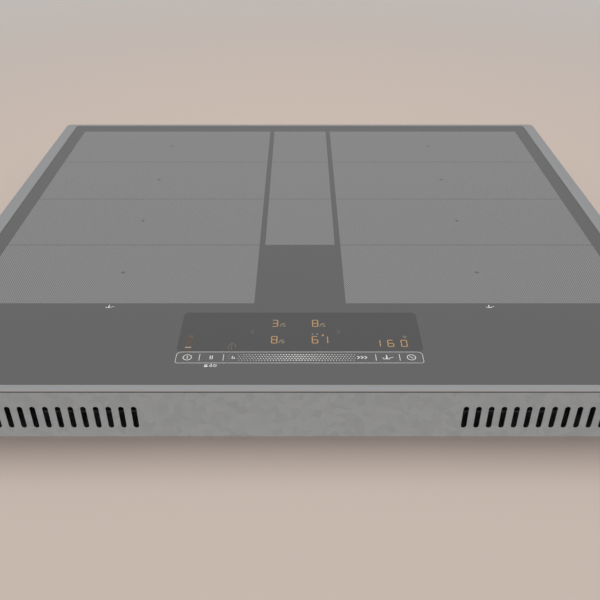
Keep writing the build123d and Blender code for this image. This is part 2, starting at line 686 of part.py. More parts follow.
def fan_impeller(side):
    """Impeller with a cup around the motor, a top disc, blades and a lower rim."""
    roof = COMPONENT_TOP - FAN_WALL
    disc_top = roof - IMPELLER_GAP
    cup_floor = roof - MOTOR_HEIGHT - IMPELLER_GAP
    cup_inner = MOTOR_RADIUS + MOTOR_GAP
    rim_bottom = FLOOR + FAN_WALL + IMPELLER_GAP
    disc = rod(0, 0, (disc_top - HUB_WALL, disc_top), IMPELLER_RADIUS)
    cup = rod(0, 0, (cup_floor - HUB_WALL, disc_top), cup_inner + HUB_WALL)
    rim = rod(0, 0, (rim_bottom, rim_bottom + IMPELLER_RIM), IMPELLER_RADIUS)
    rim -= rod(0, 0, (rim_bottom, rim_bottom + IMPELLER_RIM), IMPELLER_RADIUS - IMPELLER_RIM)
    blade = Pos(IMPELLER_RADIUS - BLADE_LENGTH / 2, 0, (rim_bottom + disc_top) / 2)
    blade = blade * Rot(0, 0, side * BLADE_ANGLE) * Box(BLADE_LENGTH, BLADE_THICKNESS, disc_top - rim_bottom)
    blade &= rod(0, 0, (rim_bottom, disc_top), IMPELLER_RADIUS)
    blades = [Rot(0, 0, 360 * index / BLADE_COUNT) * blade for index in range(BLADE_COUNT)]
    wheel = disc + cup + rim + blades
    wheel -= rod(0, 0, (cup_floor, disc_top), cup_inner)
    wheel -= rod(0, 0, (cup_floor - HUB_WALL, cup_floor), SHAFT_RADIUS + SHAFT_CLEARANCE)
    return Pos(side * FAN_CENTRE_X, FAN_Y, 0) * wheel


def coil_outline(length, depth):
    """Flat rounded outline of a coil, its long side along X or along Y."""
    if length >= depth:
        return SlotOverall(length, depth)
    return SlotOverall(depth, length, rotation=90)


def coil_layer(x, y, length, depth, z):
    """Rounded plate of a coil's outline."""
    return extrude(Pos(x, y, z[0]) * coil_outline(length, depth), amount=z[1] - z[0])


def winding(x, y, length, depth, width):
    """Wound flat coil as a closed ring of its outer shape."""
    z = (WINDING_BOTTOM, INSULATION_BOTTOM)
    hollow = coil_layer(x, y, length - 2 * width, depth - 2 * width, z)
    return coil_layer(x, y, length, depth, z) - hollow


def all_coils():
    """Centre, length and depth of every coil."""
    coils = [(x, y, COIL_LENGTH, COIL_DEPTH) for _, _, x, y in side_coils()]
    return coils + [(0, y, CENTRE_COIL_WIDTH, COIL_DEPTH) for y in centre_coils()]


def lead_places():
    """X and Y where each coil's two leads go down."""
    places = []
    for side, _, _, y in side_coils():
        x = COIL_INNER_X + SIDE_LEAD_INSET
        places += [(side * x, y), (side * (x + LEAD_PITCH), y)]
    for y in centre_coils():
        x = CENTRE_COIL_WIDTH / 2 - CENTRE_LEAD_INSET
        places += [(-x, y), (x, y)]
    return places


def lead_holes(z):
    """Holes for the coils' leads between two levels."""
    return [rod(x, y, z, LEAD_RADIUS + LEAD_CLEARANCE) for x, y in lead_places()]


def coil_leads():
    """Leads from the windings down to the power boards, those at the rear run forwards under the plate."""
    cruise = PLATE_BOTTOM - DECK_AIR_GAP / 2
    landing = BOARD_REAR - 2 * BOARD_HOLE_INSET - SCREW_HEAD_RADIUS
    leads = []
    for x, y in lead_places():
        points = [(x, y, WINDING_BOTTOM), (x, y, BOARD_TOP)]
        if y > landing:
            points[1:] = [(x, y, cruise), (x, landing, cruise), (x, landing, BOARD_TOP)]
        leads.append(tube(points, DECK_AIR_GAP / 2, LEAD_RADIUS))
    return leads


def coil_formers():
    """Moulded plate under each coil, with a hole for its sensor."""
    z = (FORMER_BOTTOM, WINDING_BOTTOM)
    plates = []
    for x, y, length, depth in all_coils():
        former = coil_layer(x, y, length + 2 * FORMER_BORDER, depth + 2 * FORMER_BORDER, z)
        plates.append(former - rod(x, y, z, SENSOR_RADIUS + SENSOR_CLEARANCE) - lead_holes(z))
    return plates


def ferrite_bars():
    """Ferrite bars under the coils, side by side along X and clear of the sensor and the leads."""
    z = (PLATE_TOP, FORMER_BOTTOM)
    bars = []
    half_width = FERRITE_WIDTH / 2
    straight = COIL_LENGTH - COIL_DEPTH
    spread = straight / FERRITE_SIDE_BARS
    side_offsets = [spread * (index + 0.5) - straight / 2 for index in range(FERRITE_SIDE_BARS)]
    centre_offset = SENSOR_RADIUS + SENSOR_CLEARANCE + half_width
    half_length = COIL_DEPTH / 2 - FERRITE_END_GAP
    for _, _, x, y in side_coils():
        for offset in side_offsets:
            limits = (x + offset - half_width, x + offset + half_width)
            bars.append(block(limits, (y - half_length, y + half_length), z))
    half_length = (COIL_DEPTH - CENTRE_COIL_WIDTH) / 2 + FERRITE_WIDTH
    for y in centre_coils():
        for offset in (-centre_offset, centre_offset):
            limits = (offset - half_width, offset + half_width)
            bars.append(block(limits, (y - half_length, y + half_length), z))
    return bars


def coil_sensors():
    """Temperature sensor in the middle of each coil, up to the insulation sheet."""
    return [rod(x, y, (PLATE_TOP, INSULATION_BOTTOM), SENSOR_RADIUS) for x, y, _, _ in all_coils()]


def deck_sheet(z):
    """Sheet of the deck's plan between two levels."""
    return block((-PLATE_HALF_X, PLATE_HALF_X), (PLATE_FRONT, PLATE_REAR), z)


def post_places():
    """X and Y of the posts that carry the coil deck."""
    side_x = INNER_X - POST_WALL_GAP
    front = PLATE_FRONT + POST_END_GAP + POST_RADIUS
    rear = PLATE_REAR - POST_END_GAP - POST_RADIUS
    return [(side * side_x, y) for side in (-1, 1) for y in (front, (front + rear) / 2, rear)]


def spring_posts():
    """Posts on the casing's floor under the deck springs."""
    return [rod(x, y, (FLOOR, PLATE_BOTTOM - SPRING_HEIGHT), POST_RADIUS) for x, y in post_places()]


def deck_springs():
    """Leaf springs that press the coil deck up against the glass."""
    half = SPRING_SHEET / 2
    low = PLATE_BOTTOM - SPRING_HEIGHT + half
    high = PLATE_BOTTOM - half
    rise = SPRING_RISE_RUN / 2
    points = [(-rise - SPRING_FLAT, low), (-rise, low), (rise, high), (rise + SPRING_FLAT, high)]
    leaf = strip(points, SPRING_SHEET, Plane.YZ, SPRING_WIDTH)
    return [Pos(x, y, 0) * leaf for x, y in post_places()]


def control_carrier():
    """Moulded tray under the glass for the touch board."""
    x = (-CARRIER_HALF_WIDTH, CARRIER_HALF_WIDTH)
    y = (CARRIER_FRONT, CARRIER_REAR)
    tray = block(x, y, (CARRIER_BOTTOM, GLASS_BOTTOM))
    hollow_x = (x[0] + CARRIER_WALL, x[1] - CARRIER_WALL)
    hollow_y = (y[0] + CARRIER_WALL, y[1] - CARRIER_WALL)
    tray -= block(hollow_x, hollow_y, (TOUCH_BOARD_TOP - BOARD_THICKNESS, GLASS_BOTTOM))
    ledge_x = (hollow_x[0] + CARRIER_WALL, hollow_x[1] - CARRIER_WALL)
    ledge_y = (hollow_y[0] + CARRIER_WALL, hollow_y[1] - CARRIER_WALL)
    return tray - block(ledge_x, ledge_y, (CARRIER_BOTTOM + CARRIER_WALL, GLASS_BOTTOM))


def touch_board():
    """Circuit board of the touch panel, on the carrier's ledge."""
    gap = CARRIER_WALL + TOUCH_BOARD_GAP
    x = (-CARRIER_HALF_WIDTH + gap, CARRIER_HALF_WIDTH - gap)
    y = (CARRIER_FRONT + gap, CARRIER_REAR - gap)
    return block(x, y, (TOUCH_BOARD_TOP - BOARD_THICKNESS, TOUCH_BOARD_TOP))


def display_modules():
    """Number displays between the touch board and the glass."""
    z = (TOUCH_BOARD_TOP, GLASS_BOTTOM)
    modules = []
    for x in POWER_DIGIT_X:
        for row in POWER_DIGIT_ROWS:
            y = PANEL_FRONT + row
            modules.append(block((x - DIGIT_CLEAR_WIDTH, x + DIGIT_CLEAR_WIDTH),
                                 (y - DIGIT_CLEAR_DEPTH / 2, y + DIGIT_CLEAR_DEPTH / 2), z))
    y = PANEL_FRONT + TIMER_DIGIT_ROW
    modules.append(block((TIMER_DIGIT_X - TIMER_WIDTH / 2, TIMER_DIGIT_X + TIMER_WIDTH / 2),
                         (y - DIGIT_CLEAR_DEPTH / 2, y + DIGIT_CLEAR_DEPTH / 2), z))
    return modules


def touch_contacts():
    """Contact pads of the keys and of the slider, pressed up to the glass."""
    spacing = 2 * SLIDER_HALF_LENGTH / (SLIDER_CONTACTS - 1)
    places = list(KEY_OFFSETS) + [-SLIDER_HALF_LENGTH + index * spacing for index in range(SLIDER_CONTACTS)]
    y = PANEL_FRONT + SLIDER_FROM_FRONT
    return [rod(x, y, (TOUCH_BOARD_TOP, GLASS_BOTTOM), KEY_RADIUS) for x in places]


def control_ribbon():
    """Flat cable from the carrier's underside down to the left power board."""
    half = RIBBON_SHEET / 2
    start = CARRIER_REAR - RIBBON_FLAT
    landing = BOARD_FRONT + BOARD_HOLE_INSET
    points = [
        (start, CARRIER_BOTTOM - half),
        (CARRIER_REAR, CARRIER_BOTTOM - half),
        (landing, BOARD_TOP + half),
        (landing + RIBBON_FLAT, BOARD_TOP + half),
    ]
    return Pos(RIBBON_X, 0, 0) * strip(points, RIBBON_SHEET, Plane.YZ, RIBBON_WIDTH)


def hinge_lug(x):
    """Ear of the terminal box with the hole for the lid's pin."""
    ear = block(x, (TERMINAL_REAR, HINGE_Y + HINGE_RADIUS), (HINGE_Z - HINGE_RADIUS, HINGE_Z + HINGE_RADIUS))
    return ear - rod_x(x, HINGE_Y, HINGE_Z, HINGE_PIN_RADIUS + HINGE_PIN_CLEARANCE)


def block_limits():
    """Limits of the terminal block inside the terminal box."""
    x = (SIDE_BAY + TERMINAL_WALL + TERMINAL_FIT, COVER_X[1])
    y = (TERMINAL_FRONT + TERMINAL_WALL, TERMINAL_FRONT + TERMINAL_WALL + BLOCK_DEPTH)
    return x, y, (BASE + TERMINAL_WALL, BASE + TERMINAL_WALL + BLOCK_HEIGHT)


def pole_places():
    """X of the terminal block's poles."""
    x = block_limits()[0]
    pitch = (x[1] - x[0]) / BLOCK_POLES
    return [x[0] + pitch * (index + 0.5) for index in range(BLOCK_POLES)]


def mains_lead_places():
    """X and level of the leads between the terminal block and the filter board."""
    z = BASE + TERMINAL_WALL + BLOCK_HEIGHT - BLOCK_LEAD_DROP
    return [(x, z) for x in pole_places()[:MAINS_LEAD_COUNT]]


def terminal_box():
    """Moulded box in the casing's notch, with a lip on the floor, a lid window and the cable's hole."""
    x = (SIDE_BAY, BOARD_OUTER)
    y = (TERMINAL_FRONT, TERMINAL_REAR)
    box = block(x, y, (BASE, TERMINAL_TOP))
    lip_x = (x[0] - TERMINAL_LIP, x[1] + TERMINAL_LIP)
    lip_y = (y[0] - TERMINAL_LIP, INNER_Y - TERMINAL_FIT)
    box += block(lip_x, lip_y, (FLOOR, FLOOR + TERMINAL_WALL))
    wall = TERMINAL_WALL
    box -= block((x[0] + wall, x[1] - wall), (y[0] + wall, y[1] - wall), (BASE + wall, TERMINAL_TOP - wall))
    box -= block(WINDOW_X, (y[1] - wall, y[1]), WINDOW_Z)
    box -= rod_y(GROMMET_X, (y[1] - wall, y[1]), GROMMET_Z, GROMMET_BORE + GROMMET_WALL)
    for lead_x, lead_z in mains_lead_places():
        box -= rod_y(lead_x, (y[0], y[0] + wall), lead_z, LEAD_RADIUS + LEAD_CLEARANCE)
    box += hinge_lug((COVER_X[0] - HINGE_SIDE_GAP - HINGE_LUG, COVER_X[0] - HINGE_SIDE_GAP))
    return box + hinge_lug((COVER_X[1] + HINGE_SIDE_GAP, COVER_X[1] + HINGE_SIDE_GAP + HINGE_LUG))


def terminal_cover():
    """Lid over the window, with a barrel and two stub pins along its lower edge."""
    y = (HINGE_Y - COVER_THICKNESS / 2, HINGE_Y + COVER_THICKNESS / 2)
    lid = block(COVER_X, y, (HINGE_Z, WINDOW_Z[1] + COVER_LAP))
    lid += rod_x(COVER_X, HINGE_Y, HINGE_Z, HINGE_RADIUS)
    reach = HINGE_SIDE_GAP + HINGE_PIN_LENGTH
    return lid + rod_x((COVER_X[0] - reach, COVER_X[1] + reach), HINGE_Y, HINGE_Z, HINGE_PIN_RADIUS)


def inlet_grommet():
    """Rubber grommet for the mains cable in the terminal box's rear wall."""
    outer = GROMMET_BORE + GROMMET_WALL
    inner_face = TERMINAL_REAR - TERMINAL_WALL
    end = inner_face - GROMMET_FLANGE + GROMMET_LENGTH
    body = rod_y(GROMMET_X, (inner_face - GROMMET_FLANGE, end), GROMMET_Z, outer)
    body += rod_y(GROMMET_X, (inner_face - GROMMET_FLANGE, inner_face), GROMMET_Z, outer + GROMMET_WALL)
    body += rod_y(GROMMET_X, (TERMINAL_REAR, TERMINAL_REAR + GROMMET_FLANGE), GROMMET_Z, outer + GROMMET_WALL)
    return body - rod_y(GROMMET_X, (inner_face - GROMMET_FLANGE, end), GROMMET_Z, GROMMET_BORE)


def terminal_block():
    """Moulded terminal block on the box's floor, with rounded long edges."""
    x, y, z = block_limits()
    return fillet(block(x, y, z).edges().filter_by(Axis.X), CAPACITOR_ROUND / 2)


def terminal_screws():
    """Clamping screws on the block's rear face."""
    face = block_limits()[1][1]
    z = BASE + TERMINAL_WALL + BLOCK_HEIGHT / 2
    return [rod_y(x, (face, face + TERMINAL_SCREW_HEAD), z, TERMINAL_SCREW_RADIUS) for x in pole_places()]


def mains_leads():
    """Short leads from the terminal block through the box's front wall, down to the filter board."""
    landing = TERMINAL_FRONT - TERMINAL_SIDE_GAP - BOARD_HOLE_INSET / 2 + LEAD_RADIUS
    start = TERMINAL_FRONT + TERMINAL_WALL
    leads = []
    for x, z in mains_lead_places():
        points = [(x, start, z), (x, landing, z), (x, landing, BOARD_TOP)]
        leads.append(tube(points, LEAD_BEND, LEAD_RADIUS))
    return leads


def clip_section():
    """Bent line of a clip's leaf, outwards from the casing's wall and up from its bend."""
    bend = CLIP_SHEET / 2
    knee = CUTOUT_HALF[0] + CLIP_OVERREACH - CASING_HALF[0] - CLIP_SHEET / 2
    start = CLIP_SPLIT / CLIP_KNEE_HEIGHT
    return [
        (bend + (knee - bend) * start, CLIP_SPLIT),
        (knee, CLIP_KNEE_HEIGHT),
        (knee - CLIP_TIP_RETURN, CLIP_TIP_HEIGHT),
    ]


def clip_leaf(side, y):
    """Sprung leaf of a clip, above its bend."""
    bend_z = BASE + CLIP_FOOT_GAP + CLIP_FOOT
    points = [(side * (CASING_HALF[0] + out), bend_z + up) for out, up in clip_section()]
    return Pos(0, y, 0) * strip(points, CLIP_SHEET, Plane.XZ, CLIP_WIDTH)


def clip_feet():
    """Flat feet of the clips, screwed to the casing's side walls."""
    z = (BASE + CLIP_FOOT_GAP, BASE + CLIP_FOOT_GAP + CLIP_FOOT)
    feet = []
    for side, y in clip_places():
        x = span(side, CASING_HALF[0], CASING_HALF[0] + CLIP_SHEET)
        feet.append(block(x, (y - CLIP_WIDTH / 2, y + CLIP_WIDTH / 2), z))
    holes = [place * screw_hole(WALL_SCREW_LENGTH) for place in clip_screws()]
    return [foot - holes for foot in feet]


def write_top():
    """Glass, frame and seals."""
    save("glass_top", glass_top())
    save("trim_frame", trim_frame())
    save("glass_bond", glass_bond())
    save("worktop_seal", worktop_seal())


def write_casing():
    """Casing, its screws and its clips."""
    save("lower_casing", lower_casing())
    save("casing_screws", casing_screws())
    save("clip_feet", clip_feet())
    for side, y in clip_places():
        name = f"clip_{'left' if side < 0 else 'right'}_{'front' if y < 0 else 'rear'}"
        save(name, clip_leaf(side, y))


def write_terminal():
    """Mains inlet."""
    save("terminal_box", terminal_box())
    save("terminal_cover", terminal_cover())
    save("inlet_grommet", inlet_grommet())
    save("terminal_block", terminal_block())
    save("terminal_screws", terminal_screws())
    save("mains_leads", mains_leads())


def write_electronics():
    """Circuit boards, what stands on them and the fans."""
    for name, (x, y) in board_outlines().items():
        save(name, circuit_board(x, y))
    save("board_standoffs", board_standoffs())
    save("board_screws", board_screws())
    save("filter_chokes", filter_chokes())
    save("filter_capacitors", filter_capacitors())
    save("supply_transformer", supply_transformer())
    for side, name in ((-1, "left"), (1, "right")):
        save(f"heat_sink_{name}", heat_sink(side))
        save(f"power_transistors_{name}", power_transistors(side))
        save(f"resonance_capacitors_{name}", resonance_capacitors(side))
        save(f"fan_housing_{name}", fan_housing(side))
        save(f"fan_motor_{name}", fan_motor(side))
        save(f"fan_impeller_{name}", fan_impeller(side))


def write_deck():
    """Coil deck and what carries it."""
    save("coil_plate", deck_sheet((PLATE_BOTTOM, PLATE_TOP)) - lead_holes((PLATE_BOTTOM, PLATE_TOP)))
    save("insulation_sheet", deck_sheet((INSULATION_BOTTOM, GLASS_BOTTOM)))
    for side, row, x, y in side_coils():
        name = f"coil_{'left' if side < 0 else 'right'}_{row + 1}"
        save(name, winding(x, y, COIL_LENGTH, COIL_DEPTH, SIDE_WINDING_WIDTH))
    save("coils_centre", [winding(0, y, CENTRE_COIL_WIDTH, COIL_DEPTH, CENTRE_WINDING_WIDTH)
                          for y in centre_coils()])
    save("coil_formers", coil_formers())
    save("ferrite_bars", ferrite_bars())
    save("coil_sensors", coil_sensors())
    save("coil_leads", coil_leads())
    save("spring_posts", spring_posts())
    save("deck_springs", deck_springs())


def write_controls():
    """Touch panel under the glass."""
    save("control_carrier", control_carrier())
    save("touch_board", touch_board())
    save("display_modules", display_modules())
    save("touch_contacts", touch_contacts())
    save("control_ribbon", control_ribbon())


def main():
    """Write every sub-part."""
    os.makedirs("parts", exist_ok=True)
    write_top()
    write_casing()
    write_terminal()
    write_electronics()
    write_deck()
    write_controls()


main()
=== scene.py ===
import json
import math

import bmesh
import bpy
import numpy as np
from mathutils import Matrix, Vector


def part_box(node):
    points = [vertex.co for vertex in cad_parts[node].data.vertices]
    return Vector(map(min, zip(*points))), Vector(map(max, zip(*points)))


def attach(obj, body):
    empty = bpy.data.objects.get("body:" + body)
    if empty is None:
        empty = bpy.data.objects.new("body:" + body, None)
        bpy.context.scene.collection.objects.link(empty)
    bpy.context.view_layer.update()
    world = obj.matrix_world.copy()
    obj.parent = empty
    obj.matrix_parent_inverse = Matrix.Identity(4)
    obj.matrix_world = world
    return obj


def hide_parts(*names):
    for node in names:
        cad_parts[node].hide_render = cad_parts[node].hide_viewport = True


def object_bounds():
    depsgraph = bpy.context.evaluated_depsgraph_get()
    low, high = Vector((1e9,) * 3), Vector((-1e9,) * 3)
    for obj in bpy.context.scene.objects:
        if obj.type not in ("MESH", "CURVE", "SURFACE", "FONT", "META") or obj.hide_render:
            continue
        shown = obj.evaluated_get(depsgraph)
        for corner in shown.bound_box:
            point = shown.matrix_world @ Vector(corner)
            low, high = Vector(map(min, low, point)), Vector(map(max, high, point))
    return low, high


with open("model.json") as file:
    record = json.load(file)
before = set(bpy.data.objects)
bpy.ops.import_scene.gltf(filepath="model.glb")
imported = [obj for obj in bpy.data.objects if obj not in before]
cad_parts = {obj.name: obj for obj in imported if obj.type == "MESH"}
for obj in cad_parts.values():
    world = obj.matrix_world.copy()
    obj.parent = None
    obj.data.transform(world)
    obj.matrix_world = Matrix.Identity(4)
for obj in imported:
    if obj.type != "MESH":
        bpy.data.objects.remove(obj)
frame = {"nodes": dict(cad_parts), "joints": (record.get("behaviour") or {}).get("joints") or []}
nodes = frame["nodes"]
cad_low, cad_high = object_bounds()


# The lower casing is a shallow tray folded from galvanised steel sheet, with intake grilles under the fans,
# outlet slots in its front wall and three pressed ribs in its floor.
# Its zinc coat shows broad grey crystals under fine marks of handling.
ZINC_DARK = (0.44, 0.452, 0.46, 1.0)
ZINC_LIGHT = (0.56, 0.572, 0.58, 1.0)
ZINC_CRYSTALS_PER_METRE = 170.0
ZINC_SCUFFS_PER_METRE = 30.0
ZINC_CRYSTAL_SHARE = 0.7
ZINC_RELIEF = 0.00004
MM = 0.001


class Value:
    """A shader socket that stands in Python arithmetic; each operator adds one Math node."""

    def __init__(self, tree, socket):
        self.tree = tree
        self.socket = socket

    def math(self, operation, *others):
        return self.tree.node("ShaderNodeMath", {"operation": operation}, [self, *others])

    def after(self, operation, first):
        return self.tree.node("ShaderNodeMath", {"operation": operation}, [first, self])

    def __add__(self, other):
        return self.math("ADD", other)

    def __radd__(self, other):
        return self.after("ADD", other)

    def __sub__(self, other):
        return self.math("SUBTRACT", other)

    def __rsub__(self, other):
        return self.after("SUBTRACT", other)

    def __mul__(self, other):
        return self.math("MULTIPLY", other)

    def __rmul__(self, other):
        return self.after("MULTIPLY", other)

    def __truediv__(self, other):
        return self.math("DIVIDE", other)

    def __gt__(self, other):
        return self.math("GREATER_THAN", other)

    def __lt__(self, other):
        return self.math("LESS_THAN", other)

    def __abs__(self):
        return self.math("ABSOLUTE")


class Tree:
    """Node tree of a material or of the world, with one method that adds a node of any type."""

    def __init__(self, owner):
        owner.use_nodes = True
        self.tree = owner.node_tree
        self.tree.nodes.clear()

    def node(self, kind, settings=None, inputs=None, output=0):
        made = self.tree.nodes.new(kind)
        for key, value in (settings or {}).items():
            if key == "stops":
                self.set_stops(made.color_ramp.elements, value)
            else:
                setattr(made, key, value)
        pairs = inputs.items() if isinstance(inputs, dict) else enumerate(inputs or [])
        for key, value in pairs:
            if isinstance(value, Value):
                self.tree.links.new(value.socket, made.inputs[key])
            else:
                made.inputs[key].default_value = value
        return Value(self, made.outputs[output]) if len(made.outputs) else None

    def set_stops(self, elements, stops):
        while len(elements) < len(stops):
            elements.new(1.0)
        for element, (position, colour) in zip(elements, stops):
            element.position = position
            element.color = colour

    def place(self):
        return self.node("ShaderNodeTexCoord", output="Object")

    def axes(self):
        scaled = self.node("ShaderNodeVectorMath", {"operation": "SCALE"}, {0: self.place(), "Scale": 1 / MM})
        split = {axis: self.node("ShaderNodeSeparateXYZ", None, [scaled], axis) for axis in "XYZ"}
        return split["X"], split["Y"], split["Z"]

    def mix(self, factor, low, high):
        return self.node("ShaderNodeMix", {"data_type": "RGBA"}, {0: factor, 6: low, 7: high}, 2)

    def noise(self, scale, detail=3.0, stretch=(1.0, 1.0, 1.0)):
        place = self.node("ShaderNodeMapping", None, {"Vector": self.place(), "Scale": stretch})
        return self.node("ShaderNodeTexNoise", None, {"Vector": place, "Scale": scale, "Detail": detail})

    def lines(self, stretch, detail=3.0):
        return self.noise(1.0, detail, stretch)

    def cells(self, scale, output="Distance"):
        return self.node("ShaderNodeTexVoronoi", None, {"Vector": self.place(), "Scale": scale}, output)

    def cell_tone(self, scale, channel):
        return self.node("ShaderNodeSeparateColor", None, [self.cells(scale, "Color")], channel)

    def bump(self, height, distance):
        return self.node("ShaderNodeBump", None, {"Distance": distance, "Height": height}, "Normal")


class Finish(Tree):
    """A material with one Principled shader."""

    def __init__(self, name):
        self.material = bpy.data.materials.new(name)
        super().__init__(self.material)

    def surface(self, sockets):
        shader = self.node("ShaderNodeBsdfPrincipled", None, sockets)
        self.node("ShaderNodeOutputMaterial", None, {"Surface": shader})
        return self.material


def dress(material, *names):
    """Gives CAD nodes their finish."""
    for name in names:
        nodes[name].data.materials.clear()
        nodes[name].data.materials.append(material)


def blend(first, second, share):
    """Two patterns added together, the first one by its share."""
    return share * first + (1 - share) * second


def galvanised_sheet():
    """Zinc crystals: each cell has its own grey and gloss, with soft scuffs over them."""
    finish = Finish("galvanised_sheet")
    cell = finish.cell_tone(ZINC_CRYSTALS_PER_METRE, "Red")
    scuff = finish.noise(ZINC_SCUFFS_PER_METRE, detail=6.0)
    tone = blend(cell, scuff, ZINC_CRYSTAL_SHARE)
    return finish.surface({
        "Base Color": finish.mix(tone, ZINC_DARK, ZINC_LIGHT),
        "Metallic": 0.85,
        "Roughness": 0.34 + 0.16 * cell + 0.1 * scuff,
        "Normal": finish.bump(tone, ZINC_RELIEF),
    })


dress(galvanised_sheet(), "lower_casing")


# Twelve pan-head screws of zinc-plated steel go through the casing's walls into the frame's skirt and through
# the clips' feet. They are cold-headed, with a pressed cross recess.
SCREW_HEAD_RADIUS = 3.0
SCREW_HEAD_HEIGHT = 1.8
SCREW_EDGE = 0.9
SCREW_SHANK_RADIUS = 1.5
SCREW_SHANK_LENGTH = 5.0
SCREW_SECTORS = 64
SCREW_TOP_RINGS = 26
SCREW_EDGE_RINGS = 7
SCREW_POLE_SHARE = 0.06
CROSS_ARMS = 2
CROSS_ARM_HALF = 0.42
CROSS_REACH = 1.75
CROSS_DEPTH = 1.0
RECESS_EDGE = 0.16
RECESS_RISE = 0.35
WALL_SCREW_LEVEL = -9.0
WALL_SCREW_END_GAP = 60.0
CLIP_SCREW_LEVEL = -40.0
CLIP_FROM_CENTRE = 140.0
PLATED_DARK = (0.42, 0.42, 0.41, 1.0)
PLATED_LIGHT = (0.60, 0.60, 0.585, 1.0)
PLATE_MOTTLES_PER_METRE = 900.0


def grid_faces(rows, columns, wrap_rows, wrap_columns):
    """Quads between neighbours of a grid of points, closed round on itself along either way."""
    row = np.arange(rows if wrap_rows else rows - 1)[:, None]
    column = np.arange(columns if wrap_columns else columns - 1)[None, :]
    next_row = (row + 1) % rows
    next_column = (column + 1) % columns
    corners = [row * columns + column, row * columns + next_column,
               next_row * columns + next_column, next_row * columns + column]
    return np.stack(np.broadcast_arrays(*corners), axis=-1).reshape(-1, 4)


def tube_faces(rows, columns, closed):
    """Quads of a profile carried along a path, and a flat cap at each end of an open one."""
    faces = [grid_faces(rows, columns, closed, True)]
    if not closed:
        ends = np.array([[0], [(rows - 1) * columns]])
        faces.append(ends + np.arange(columns))
    return faces


def piece(name, parts, material, body):
    """One object from parts given as points in millimetres and faces, with its normals turned outwards."""
    points = []
    faces = []
    first = 0
    for part_points, part_faces in parts:
        flat = np.asarray(part_points, float).reshape(-1, 3)
        points.append(flat * MM)
        for corners in part_faces:
            faces += (first + corners).tolist()
        first += len(flat)
    mesh = bpy.data.meshes.new(name)
    mesh.from_pydata(np.concatenate(points), [], faces)
    work = bmesh.new()
    work.from_mesh(mesh)
    bmesh.ops.recalc_face_normals(work, faces=work.faces)
    work.to_mesh(mesh)
    work.free()
    mesh.materials.append(material)
    made = bpy.data.objects.new(name, mesh)
    bpy.context.scene.collection.objects.link(made)
    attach(made, body)
    return made


def drive_recess(x, y, arms):
    """Depth of the drive from 0 to 1: inside any of the straight arms, each turned evenly about the axis."""
    depth = np.zeros_like(x)
    for arm in range(arms):
        turn = math.pi * arm / arms
        along = np.abs(x * math.cos(turn) + y * math.sin(turn))
        across = np.abs(y * math.cos(turn) - x * math.sin(turn))
        inside = np.clip((CROSS_ARM_HALF - across) / RECESS_EDGE, 0, 1)
        inside *= np.clip((CROSS_REACH - along) / RECESS_EDGE, 0, 1)
        depth = np.maximum(depth, inside * (1 - RECESS_RISE * along / CROSS_REACH))
    return depth


def screw(radius, height, edge, shank, length, arms, depth):
    """Turned screw: rings run out over the top, round the edge, in under the head and down the shank."""
    bend = np.linspace(0, math.pi / 2, SCREW_EDGE_RINGS)
    top = np.linspace(SCREW_POLE_SHARE * radius, radius - edge, SCREW_TOP_RINGS)
    ring_radius = np.concatenate([top, radius - edge + edge * np.sin(bend), [radius, shank, shank]])
    level = np.concatenate([np.full_like(top, height), height - edge + edge * np.cos(bend), [0, 0, -length]])
    angle = np.linspace(0, 2 * math.pi, SCREW_SECTORS, endpoint=False)
    x = ring_radius[:, None] * np.cos(angle)
    y = ring_radius[:, None] * np.sin(angle)
    z = np.broadcast_to(level[:, None], x.shape).copy()
    face = slice(SCREW_TOP_RINGS)
    z[face] -= depth * drive_recess(x[face], y[face], arms)
    return np.stack([x, y, z], axis=-1), tube_faces(len(level), SCREW_SECTORS, False)


def aimed(points, place, outward):
    """Turns a shape that stands along Z to point outwards, and moves it to its place."""
    outward = np.array(outward, float)
    first = np.cross((0.0, 0.0, 1.0), outward)
    second = np.cross(outward, first)
    return points @ np.stack([first, second, outward]) + np.array(place)


def plated_steel():
    """Bright zinc plate with a faint mottle."""
    finish = Finish("plated_steel")
    mottle = finish.noise(PLATE_MOTTLES_PER_METRE, detail=4.0)
    return finish.surface({
        "Base Color": finish.mix(mottle, PLATED_DARK, PLATED_LIGHT),
        "Metallic": 0.95,
        "Roughness": 0.24 + 0.16 * mottle,
    })


def box_of(node):
    """Low and high corners of a CAD node in millimetres."""
    return [np.array(corner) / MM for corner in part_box(node)]


def casing_screws():
    """The screws of the four walls, and those of the four clips on the side walls."""
    wall_x, wall_y, _ = box_of("lower_casing")[1]
    foot_x = box_of("clip_feet")[1][0]
    places = []
    for side in (-1, 1):
        for end in (-1, 1):
            side_place = (side * wall_x, end * (wall_y - WALL_SCREW_END_GAP), WALL_SCREW_LEVEL)
            places.append((side_place, (side, 0, 0)))
            end_place = (end * (wall_x - WALL_SCREW_END_GAP), side * wall_y, WALL_SCREW_LEVEL)
            places.append((end_place, (0, side, 0)))
            places.append(((side * foot_x, end * CLIP_FROM_CENTRE, CLIP_SCREW_LEVEL), (side, 0, 0)))
    points, faces = screw(SCREW_HEAD_RADIUS, SCREW_HEAD_HEIGHT, SCREW_EDGE, SCREW_SHANK_RADIUS,
                          SCREW_SHANK_LENGTH, CROSS_ARMS, CROSS_DEPTH)
    return [(aimed(points, place, outward), faces) for place, outward in places]


screw_metal = plated_steel()
cross_screws = piece("cross_head_screws", casing_screws(), screw_metal, "cooktop")
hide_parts("casing_screws")
dress(screw_metal, "board_screws")


